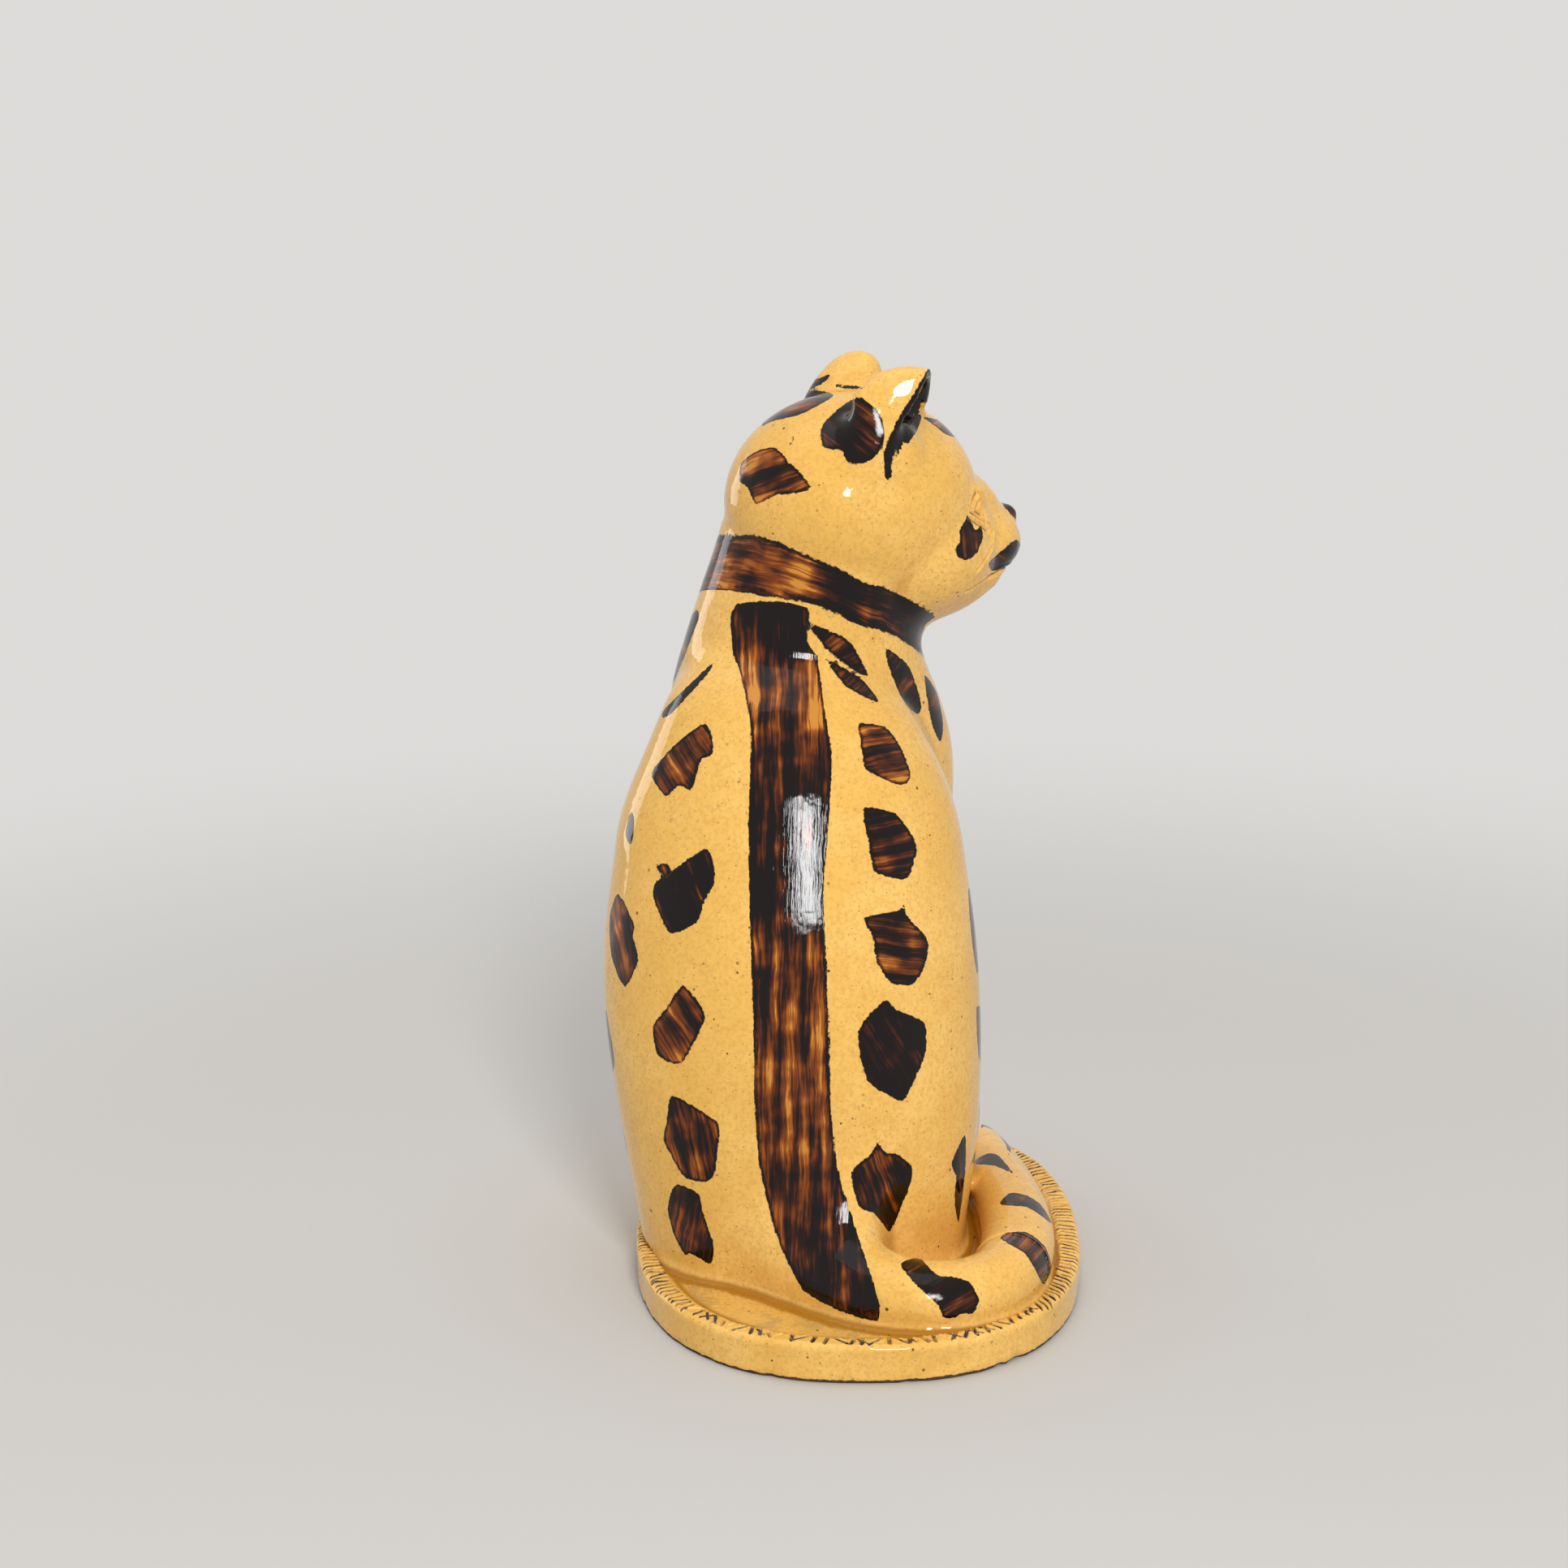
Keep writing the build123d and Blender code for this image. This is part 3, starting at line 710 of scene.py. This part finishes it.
spine_left = [(48, 266), (49, 248.5), (46, 239), (42, 216.5), (43, 184.5), (43, 165), (42.5, 135), (41.5, 102),
              (41, 68), (39.5, 40.5), (36, 23.5), (31.5, 6), (21.5, -15), (6.5, -24), (-8, -28.5)]
spine_right = [(-9.5, -22), (-4.5, -4.5), (2, 16.5), (8, 37), (10.5, 61), (11.5, 91.5), (12.5, 118.5), (14, 151.5),
               (11.5, 184.5), (11, 207), (14, 226.5), (16.5, 245.5), (20.5, 251.5), (21, 266)]
spine_ink = [(-30, 0.80), (-12, 0.92), (5, 0.70), (25, 0.72), (45, 0.42), (100, 0.46), (132, 0.52), (146, 0.90),
             (190, 0.90), (210, 0.66), (219, 0.32), (241, 0.32), (249, 0.72), (262, 0.96), (272, 1.0)]
spine_band = behind((spine_left + spine_right, 90.0, spine_ink))
back_marks = spine_band + behind(
    ([(60.5, 219.5), (57, 214.5), (57, 207), (61.5, 205), (65, 193), (70, 195), (75, 190.5), (80, 197), (80, 201),
      (72, 210.5)], 62.0, 0.55),
    ([(60, 169.5), (57, 165), (56.5, 155.5), (60.5, 148), (63.5, 139.5), (73, 135), (76.5, 139.5), (80.5, 151),
      (79, 156.5), (70.5, 162.5)], 70.0, 0.92),
    ([(79.5, 163), (75, 163.5), (73, 160), (74, 157), (76.5, 159), (78.5, 161)], 70.0, 0.8),
    ([(69, 114), (60.5, 102.5), (62.5, 95), (69, 82.5), (73.5, 81.5), (79.5, 85.5), (81, 97), (76, 104)], 60.0, 0.48),
    ([(73.5, 68), (56, 57), (55.5, 47.5), (57, 35), (61, 31.5), (69.5, 34), (77, 48.5), (76, 57)], 80.0, 0.50),
    ([(72.5, 30.5), (63.5, 26.5), (62, 19), (58, 6.5), (57.5, 2), (59, -3.5), (67, 1), (69, 0), (73.5, 9),
      (76, 20.5)], 100.0, 0.62),
    ([(88.5, 184.5), (87.5, 180.5), (88.5, 171), (90.5, 174), (90.5, 178)], 80.0, 0.8),
    ([(0.5, 219.5), (-10, 218), (-16, 209.5), (-19.5, 200), (-18.5, 196), (-13.5, 195.5), (-2.5, 201), (-1, 207),
      (0, 213.5)], -10.0, 0.52),
    ([(-1.5, 186), (-14, 183.5), (-21.5, 173), (-22, 167), (-19, 158), (-14, 157.5), (-6, 160.5), (-3.5, 172)],
      -12.0, 0.60),
    ([(-2, 141.5), (-15.5, 144.5), (-17.5, 147), (-19, 142), (-27, 132.5), (-26, 122), (-21, 114), (-12.5, 115),
      (-7, 124), (-5.5, 133.5)], 8.0, 0.58),
    ([(-10.5, 108), (-14.5, 104), (-26, 98.5), (-26.5, 85.5), (-19, 67), (-15, 66.5), (-3.5, 74.5), (0, 95)], 60.0,
      0.97),
    ([(-8, 48.5), (-11, 44), (-15.5, 43.5), (-21.5, 38.5), (-21.5, 32), (-14.5, 12.5), (-12.5, 10.5), (-7, 18),
      (-1, 21), (2.5, 35.5), (-5, 43)], 70.0, 0.68),
    ([(19.5, 258.5), (4.5, 252), (-3, 238.5), (1.5, 239.5), (13.5, 249)], -40.0, 0.62),
    ([(13.5, 245), (-0.5, 237), (-7.5, 227.5), (0.5, 231), (6.5, 235)], -40.0, 0.55),
    ([(-9.5, 249), (-18.5, 242), (-23.5, 227.5), (-22, 223), (-16.5, 228.5), (-11.5, 239.5)], -55.0, 0.72),
    ([(62.5, 264), (62, 260), (71, 237), (72.5, 236), (69.5, 250), (66, 260)], 70.0, 0.85),
    ([(57, 243), (58.5, 239), (71.5, 224.5), (76, 221.5), (75, 225.5)], 50.0, 0.8),
)
flank_marks = behind(
    ([(94, 151.5), (88, 139), (88.5, 133.5), (86.5, 124), (92, 113), (97, 126), (97.5, 142)], 80.0, 0.62),
    ([(-24.5, 238.5), (-29.5, 231.5), (-32, 219.5), (-31, 212), (-27.5, 219.5)], -60.0, 0.8),
    ([(-43, 52), (-39, 43.5), (-37.5, 39), (-39.5, 34), (-39, 23.5), (-40.5, 14), (-41.5, 20), (-43, 35)], 85.0,
      0.92),
    ([(-42.5, 153.5), (-45, 148.5), (-47.5, 125), (-46.5, 118.5), (-44, 135)], 85.0, 0.8),
    ([(-46.5, 105), (-49.5, 102), (-49.5, 81.5), (-47.5, 85)], 85.0, 0.85),
)
dabs = [
    ("left", 1, [(12, 78, 24, 32, -8, 0.66), (-24, 128, 23, 32, 6, 0.55), (-32, 178, 20, 29, 10, 0.62),
        (-60, 198, 17, 27, 14, 0.7), (-55, 150, 19, 29, 4, 0.52), (-26, 82, 23, 31, -6, 0.6),
        (14, 36, 20, 26, 12, 0.58), (-18, 40, 21, 27, -10, 0.72), (-48, 52, 18, 28, 6, 0.6),
        (-82, 70, 10, 12, 0, 0.75), (-81, 41, 10, 11, 0, 0.66)]),
    ("right", 13, [(-50, 145, 21, 30, -5, 0.56), (-46, 100, 20, 28, 5, 0.7), (-40, 56, 20, 28, 10, 0.6),
        (-4, 50, 18, 26, -6, 0.64), (-84, 69, 10, 12, 0, 0.72), (-84, 41, 10, 11, 0, 0.66)]),
    ("front", 20, [(-12, 200, 16, 26, 8, 0.6), (22, 214, 17, 24, -4, 0.56), (54, 204, 16, 26, -12, 0.7),
        (2, 160, 18, 27, 6, 0.62), (38, 164, 18, 28, -6, 0.5), (68, 158, 15, 27, -10, 0.68),
        (20, 122, 18, 25, 0, 0.6), (54, 118, 15, 24, -6, 0.74), (-14, 118, 14, 24, 6, 0.7), (3, 82, 15, 13, 4, 0.7),
        (36, 86, 15, 13, -6, 0.66), (4, 56, 15, 12, -4, 0.6), (37, 60, 15, 12, 5, 0.74), (-30, 58, 14, 24, 8, 0.6),
        (74, 60, 14, 26, -8, 0.6)]),
]
side_marks = [spot(side, *dab, hand) for side, first, lot in dabs for hand, dab in enumerate(lot, first)]
round_the_side = -0.25
paint(parted["body"], back_marks + side_marks)
paint(parted["body"], flank_marks, wrap=round_the_side)
fire("body", wall=0.006)

# The head.
# A pinched and rounded ball of clay on the neck, turned to look over the cat's right shoulder, with a
# painted collar round its base, blots at the crown, nape and cheek, and the face pulled to a muzzle.
head_marks = behind(
    ([(38, 334), (32.5, 341.5), (27, 345.5), (18, 347.5), (14, 347), (10.5, 345.5), (18, 341), (24.5, 338),
      (33.5, 336)], -10.0, 0.80),
    ([(15.5, 331.5), (14.5, 335), (8.5, 341), (1.5, 345), (-4, 341.5), (-7.5, 337), (-8.5, 330), (-7, 325),
      (-3, 321), (2, 319.5), (5.5, 321), (8, 325), (14.5, 326)], 40.0, 0.84),
    ([(46, 313), (45.5, 320), (40, 324.5), (33.5, 326), (29, 323), (28, 320), (26, 319.5), (19, 311), (24.5, 308.5),
      (32, 308), (40, 304.5), (43, 311)], -20.0, 0.42),
    ([(-40.2, 300.2), (-41.8, 296.9), (-43.4, 294.8), (-45.2, 296.2), (-46.2, 291.9), (-44.6, 287.1), (-42.3, 284.2),
      (-39.5, 283.2), (-36.4, 284.7), (-35.6, 287.8), (-37.4, 290.0), (-37.2, 294.3), (-38.6, 297.0)], 80.0, 0.92),
    ([(-13.6, 329.6), (-17.1, 327.4), (-20.3, 331.6), (-22.4, 337.2), (-20.7, 338.8), (-17.1, 335.6),
      (-14.4, 332.8)], 60.0, 0.95),
    ([(-25.6, 357.2), (-26.8, 356.0), (-21.0, 342.0), (-16.5, 332.6), (-12.4, 324.6), (-11.2, 319.0), (-11.6, 316.0),
      (-10.2, 313.4), (-8.9, 314.6), (-8.6, 318.8), (-8.0, 322.8), (-10.7, 331.0), (-14.9, 339.3), (-19.7, 346.9),
      (-23.6, 353.9)], 60.0, 1.0),
    ([(26.2, 330.4), (25.8, 329.5), (26.5, 327.1), (27.2, 327.4)], 80.0, 0.5),
) + [
    spot("left", -46, 300, 19, 25, 10, 0.6, 40),
    spot("left", -64, 324, 14, 17, -10, 0.66, 41),
    spot("front", 34, 300, 17, 24, 10, 0.6, 42),
    spot("front", -14, 338, 17, 13, 6, 0.78, 43),
    spot("front", -8, 284, 12, 17, -6, 0.8, 44),
    ("front", [(-64, 283), (-55, 287.5), (-47, 284), (-45, 279.5), (-52, 277.5), (-61, 278.5)], 10.0, 0.86),
] + behind(
    ([(-48.5, 282), (-52, 285.5), (-58.5, 291), (-60.5, 288.5), (-59.5, 282), (-53, 279.5), (-49.5, 279)], 30.0,
      0.86),
    ([(22, 347.5), (19, 351), (12, 353.5), (13.5, 351), (19, 348)], 30.0, 0.85),
    ([(11.5, 349.6), (5.5, 349.6), (-1.5, 348.2), (3.5, 347.9), (10, 348.6)], 0.0, 0.8),
    ([(-23, 337.5), (-30, 336), (-35.5, 330), (-31.5, 331), (-27, 334.5)], -40.0, 0.8),
)

# The collar is one streaky sweep round the neck: its edges, in millimetres above the seam, and its ink.
collar_top = [(-180, 16.5), (-120, 17.5), (-60, 19.5), (0, 22.5), (54, 21.6), (74, 21.0), (92, 18.1), (110, 16.2),
              (118, 15.2), (132, 17.1), (150, 16.5), (180, 16.5)]
collar_foot = [(-180, 0.8), (-60, -0.6), (16, -0.6), (64, 0.2), (91, 1.6), (101, 1.2), (115, -0.4), (133, 1.5),
               (157, 1.2), (180, 0.8)]
collar_ink = [(-180, 0.55), (-150, 0.85), (-110, 0.45), (-60, 0.62), (-20, 0.50), (30, 0.40), (70, 0.36), (88, 0.44),
              (100, 0.86), (112, 0.92), (122, 0.62), (136, 0.60), (148, 0.90), (165, 0.80), (180, 0.55)]
neck_reach, spread, band_width, sweep_lean, sweep_scale = 0.062, 0.62, 17.0, 0.9, 0.75
paint(parted["head"], head_marks)
rel = places(parted["head"]) - np.array(seam_at)
rise = rel @ np.array(seam_way) * 1000.0
swept = np.degrees(np.arctan2(rel[:, 1], rel[:, 0]))
top, foot, ink_there = (np.interp(swept, *zip(*line)) for line in (collar_top, collar_foot, collar_ink))
far = np.maximum(rise - top, foot - rise) * spread
far[np.hypot(rel[:, 0], rel[:, 1]) > neck_reach] = unmarked
sweep = ((swept - sweep_lean * rise + 180.0) % 360.0 - 180.0) * sweep_scale
lay(parted["head"], far, sweep, rise * band_width / top, ink_there)
fire("head", wall=0.005)

# The ears.
# Two pinched leaves of clay, cupped to the front and stained black inside, pressed onto the crown.
splay, droop, hollow_depth = math.radians(35.0), math.radians(31.0), 0.0125
black_from, black_spread, black_ink = -0.17, 7.0, 0.93
faced = (look * math.cos(splay) + aside * math.sin(splay)) * math.cos(droop) - Vector((0.0, 0.0, math.sin(droop)))
for name, hollow_at in (("ear_right", near_ear_hollow), ("ear_left", far_ear_root + faced * hollow_depth)):
    ear = parted[name]
    paint(ear, head_marks)
    spots = places(ear)
    rel = spots - np.array(hollow_at)
    inward = -(rel * kept(ear, "skin_way", 3)).sum(1) / np.linalg.norm(rel, axis=1)
    lay(ear, (black_from - inward) * black_spread, spots[:, 2] * 1000.0, spots[:, 0] * 1000.0, black_ink)
    fire(name, wall=0.0012)

# The muzzle and chin.
# The face is pulled forward to a blunt muzzle over a receding chin, with one dark blot on each lip.
for name in ("muzzle", "lower_jaw"):
    paint(parted[name], head_marks)
    fire(name, wall=0.0015)

# The nose.
# A small dark pad on the tip of the muzzle, wholly covered with slip.
dark = glaze.copy()
dark.name = "dark_glaze"
nose = parted["nose"]
nose.data.materials.clear()
nose.data.materials.append(dark)
lay(nose, np.full(len(nose.data.vertices), -3.0), along=1.0, across=2.0, ink=0.92)
fire("nose", wall=0.0008)

# The eyes.
# Low almond swellings with the lids scored round them, left in the honey glaze.
for name in ("eye_right", "eye_left"):
    fire(name, wall=0.0008)

# The forelegs and paws.
# Straight columns pressed onto the breast, ending in blunt paws on the plinth.
for name in ("foreleg_right", "foreleg_left", "forepaw_right", "forepaw_left"):
    paint(parted[name], side_marks)
    fire(name, wall=0.0025)

# The haunches and hind paws.
# Flattened pads of clay on each flank, with the hind paws showing in front of them.
for name in ("haunch_right", "haunch_left", "hind_paw_right", "hind_paw_left"):
    paint(parted[name], side_marks)
    paint(parted[name], flank_marks, wrap=round_the_side)
    fire(name, wall=0.0025)

# The tail.
# A coil rolled out of the back, laid round the cat's right side on the plinth and ringed with short
# brush marks. It cracked across in the firing.
tail_marks = spine_band + behind(
    ([(-17.5, -3.5), (-25, -0.5), (-26.5, -2), (-32.5, -8.5), (-38, -9), (-45, -11), (-47.5, -14.5), (-49.5, -19.5),
      (-47, -25), (-43, -25), (-39, -27.5), (-35, -26.5), (-32.5, -21), (-23.5, -12)], -30.0, 0.84),
    ([(-57.5, 7.5), (-60.5, 10), (-68.5, 10), (-75.5, 4), (-78.5, -5), (-75.5, -12.5), (-73.5, -9.5), (-68, 0.5),
      (-62, 4.5)], -50.0, 0.66),
    ([(-57, 22), (-61, 27), (-67.5, 26), (-73.5, 22), (-78.5, 13.5), (-72.5, 18), (-67.5, 21)], -30.0, 0.70),
    ([(-46, 39.5), (-51, 43.5), (-56, 43), (-62, 36), (-63.5, 34.5), (-54.5, 38.5)], -30.0, 0.78),
    ([(-49, 54.5), (-50, 57), (-55.5, 57), (-59.5, 52.5), (-61.5, 48), (-60.5, 42.5), (-59, 47.5), (-55.5, 52.5),
      (-51, 55)], -40.0, 0.85),
)
paint(parted["tail"], tail_marks)
fire("tail", wall=0.0030)

# The plinth.
# A thick slab cut to a squared oval, with a low rim round it that was notched with a blunt stick
# before glazing. Its foot is wiped bare and chipped, and a vent hole lets the steam out of the cat.
columns, half_across, half_aft, squareness, rim_top, slab_top = 1400, 88.0, 120.0, 2.4, 15.0, 13.0
edge_round, vent_at, vent_radius, inside = 2.4, (20.0, 4.0), 15.0, 50.0

# Its profile goes from the foot up the side, over the rim, in over the top, down the wall of the vent
# and back below: how far in from the edge, or what share of the way on to the vent, and how high.
profile = [("out", 0.9, 0.0), ("out", 0.45, 0.35), ("out", 0.12, 1.1), ("out", 0.0, 2.2)]
profile += [("out", 0.0, z) for z in (4.0, 5.8, 7.6, 9.4, 11.0, 12.2)]
for angle in (18, 36, 54, 72, 90):
    bend = math.radians(angle)
    profile.append(("out", edge_round * (1.0 - math.cos(bend)), rim_top - edge_round * (1.0 - math.sin(bend))))
profile += [("out", lean, rim_top - 0.05 * (lean - edge_round))
            for lean in (2.95, 3.5, 4.0, 4.5, 5.0, 5.5, 6.0, 6.5, 7.0, 7.5)]
profile += [("out", lean, rim_top - drop) for lean, drop in ((8.1, 0.55), (8.7, 1.0), (9.4, 1.5), (10.3, 1.85))]
profile += [("out", lean, slab_top) for lean in [11.4] + [12.6 + 1.6 * k for k in range(18)] + [43.0, 47.0]]
profile += [("in", share, z) for share, z in
            ((0.5, slab_top), (1.0, slab_top), (1.0, 12.2), (1.0, 6.5), (1.0, 0.6), (0.97, 0.0), (0.5, 0.0))]
profile += [("out", lean, 0.0) for lean in (47.0, 30.0, 12.0, 4.0)]
rows = len(profile)


def oval(turn, lean=0.0):
    """How far the squared oval, moved in from the edge by a lean, reaches at each turn round it."""
    across = np.abs(np.cos(turn) / (half_across - lean)) ** squareness
    aft = np.abs(np.sin(turn) / (half_aft - lean)) ** squareness
    return (across + aft) ** (-1.0 / squareness)


turns = np.linspace(-math.pi, math.pi, 20001)
steps = np.hypot(np.diff(oval(turns) * np.cos(turns)), np.diff(oval(turns) * np.sin(turns)))
run = np.concatenate([[0.0], np.cumsum(steps)])
girth = run[-1]
lengthwise = np.arange(columns) * girth / columns
turn = np.interp(lengthwise, run, turns)


def along_rim(place, start):
    """How far a place on the rim lies from another, the shorter way round."""
    return (place - start + girth / 2) % girth - girth / 2


def wave(*terms):
    """The unsteadiness of a hand going round the rim: height, number and shift of each wave."""
    return sum(high * np.sin(2 * math.pi * count * lengthwise / girth + shift) for high, count, shift in terms)


hand_top = wave((0.22, 3, 0.4), (0.18, 7, 1.9), (0.12, 13, 0.3), (0.08, 29, 2.2)) - 0.35
hand_side = np.clip(wave((0.22, 4, 1.0), (0.16, 9, 0.2), (0.10, 21, 2.9)) + 0.30, 0.0, 1.0)
hand_foot = np.clip(wave((0.25, 5, 0.9), (0.22, 17, 1.1), (0.20, 41, 2.0), (0.15, 67, 0.1)) - 0.05, 0.0, 1.0)
for chip_turn, wide, deep in ((2.09, 5.0, 2.1), (2.02, 2.5, 1.4), (1.28, 3.0, 1.0), (1.70, 2.2, 0.9),
                              (2.75, 3.0, 1.2), (0.55, 3.5, 1.1), (-0.9, 4.0, 1.5), (-2.2, 3.0, 1.2)):
    from_chip = np.abs(along_rim(lengthwise, np.interp(chip_turn, turns, run)))
    hand_foot += deep * fading(from_chip, wide, 1.15)

# A ring of points is spun round into a grid of columns and rows, which is then laid on the oval.
ring_radius, spun_radius = 0.02, 0.09
bpy.ops.mesh.primitive_circle_add(vertices=rows, radius=ring_radius, fill_type="NOTHING",
                                  location=(spun_radius, 0.0, 0.0), rotation=(math.radians(90.0), 0.0, 0.0))
plinth = bpy.context.object
plinth.name = plinth.data.name = "plinth_glazed"
bpy.ops.object.transform_apply()
press(plinth, "SCREW", axis="Z", angle=2.0 * math.pi, steps=columns, render_steps=columns,
      use_merge_vertices=True, merge_threshold=1e-6)
x, y, z = places(plinth).T
column = np.round(np.arctan2(y, x) / (2 * math.pi) * columns).astype(int) % columns
row = np.arctan2(z, np.hypot(x, y) - spun_radius) / (2 * math.pi) - 0.25
row = np.round(row * rows).astype(int) % rows
rings = np.zeros((columns, rows, 3))
inset, climb, cut, stained = np.zeros((4, columns, rows))
outward = np.stack([np.cos(turn), np.sin(turn)], 1)
for j, (kind, step, z) in enumerate(profile):
    lean = step if kind == "out" else inside
    flat = oval(turn, lean)[:, None] * outward
    if kind == "in":
        flat = flat + (np.array(vent_at) + vent_radius * outward - flat) * step
    inset[:, j], climb[:, j] = lean, z
    rings[:, j, :2], rings[:, j, 2] = flat, z
on_rim = (inset < 9.5) & (climb > 11.5)
rings[:, :, 2] += np.where(on_rim, hand_top[:, None] * np.clip((climb - 11.0) / 3.0, 0, 1), 0.0)
side_dent = np.where(inset < 3.0, hand_side[:, None] * np.sin(np.clip(climb / 12.5, 0, 1) * math.pi) ** 0.7, 0.0)
side_dent += np.where((climb < 2.5) & (inset < 3.0), hand_foot[:, None] * (1 - climb / 2.5), 0.0)
rings[:, :, :2] -= side_dent[..., None] * outward[:, None, :]

# The notches: one stroke of the stick every three to five millimetres, leaning this way and that, and
# crossing each other at the back where the potter was in a hurry.
chance = np.random.default_rng(11)
notches, at = [], 0.0
while at < girth - 2.0:
    hurried = math.sin(np.interp(at, run, turns)) > 0.80
    if hurried:
        lean = chance.normal(0.0, 2.6)
        start, length = chance.uniform(2.2, 3.0), chance.uniform(4.8, 6.6)
        deep, inked = chance.uniform(0.8, 1.25), chance.choice([0.35, 0.9, 1.0, 1.0])
    else:
        lean = chance.normal(1.6, 0.9)
        start, length = chance.uniform(0.9, 1.8), chance.uniform(5.6, 7.4)
        deep, inked = chance.uniform(0.8, 1.25), chance.choice([0.8, 1.0, 1.2])
    notches.append((at - lean / 2, start, at + lean / 2, start + length, deep, inked))
    if hurried and chance.random() < 0.35:
        notches.append((at + 2.0, start + 0.5, at - 2.2, start + length - 0.6,
                        chance.uniform(0.35, 0.6), chance.choice([0.2, 0.7])))
    at += chance.uniform(3.4, 5.4) if hurried else chance.uniform(2.7, 3.9)
for s0, i0, s1, i1, deep, inked in notches:
    near = np.abs(along_rim(lengthwise, (s0 + s1) / 2)) < 6.0
    ds = along_rim(lengthwise[near], s0)
    p = np.stack([np.repeat(ds[:, None], rows, 1), inset[near] - i0], -1)
    q = np.array([s1 - s0, i1 - i0])
    share = np.clip((p @ q) / (q @ q), 0.0, 1.0)
    far = np.linalg.norm(p - share[..., None] * q, axis=-1)
    live = on_rim[near]
    groove = np.where(live, deep * (np.exp(-(far / 0.62) ** 2) - 0.25 * np.exp(-((far - 1.3) / 0.45) ** 2)), 0.0)
    cut[near] = np.where(np.abs(groove) > np.abs(cut[near]), groove, cut[near])
    stained[near] = np.maximum(stained[near], np.where(live, 1.7 * inked * np.exp(-(far / 0.70) ** 2), 0.0))
rings[:, :, 2] -= cut * 1.35
inset, climb, cut, stained = (grid[column, row] for grid in (inset, climb, cut, stained))
rest = rings[column, row] * 0.001
move(plinth, rest)

# Glaze lies thick along the foot of the cat, in the corner behind the rim and in the notches, and
# thin on the edge. The foot of the plinth is bare.
foot = np.concatenate([places(parted[name]) for name in clay_nodes])
foot = foot[foot[:, 2] < floor_z + 0.0012]
contact = KDTree(len(foot))
for index, (x, y, z) in enumerate(foot):
    contact.insert((x, y, 0.0), index)
contact.balance()
amber = np.zeros(len(rest))
for index in np.flatnonzero((climb > 12.0) & (inset > 7.0)):
    from_foot = contact.find((rest[index, 0], rest[index, 1], 0.0))[2]
    amber[index] = math.exp(-(max(0.0, from_foot - 0.0004) / 0.0015) ** 2)
corner = np.exp(-((inset - 10.2) / 1.3) ** 2) * (climb > 11.0)
flat_top = (inset > 10.0) & (inset < 34.0) & (climb > 12.5)
thin_edge = np.exp(-((inset - 1.2) / 1.2) ** 2) * (climb > 12.0)
thickness = amber + 0.55 * corner + 0.26 * flat_top - 0.4 * thin_edge + 0.5 * np.clip(cut, 0, 1)
lasting(plinth, "pooled", np.clip(thickness, -1.0, 1.0))
lasting(plinth, "scored", stained)
lasting(plinth, "bare", fading(climb, 1.6, 1.35) + 0.3 * (climb < 0.01))
lasting(plinth, "mark_edge", np.full(len(rest), unmarked))
lasting(plinth, "mark_stroke", np.zeros((len(rest), 3)))
plinth.data.polygons.foreach_set("use_smooth", np.ones(len(plinth.data.polygons), bool))
plinth.data.materials.append(glaze)
at_work(plinth, bpy.ops.mesh.normals_make_consistent)
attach(plinth, "root")
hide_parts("plinth")
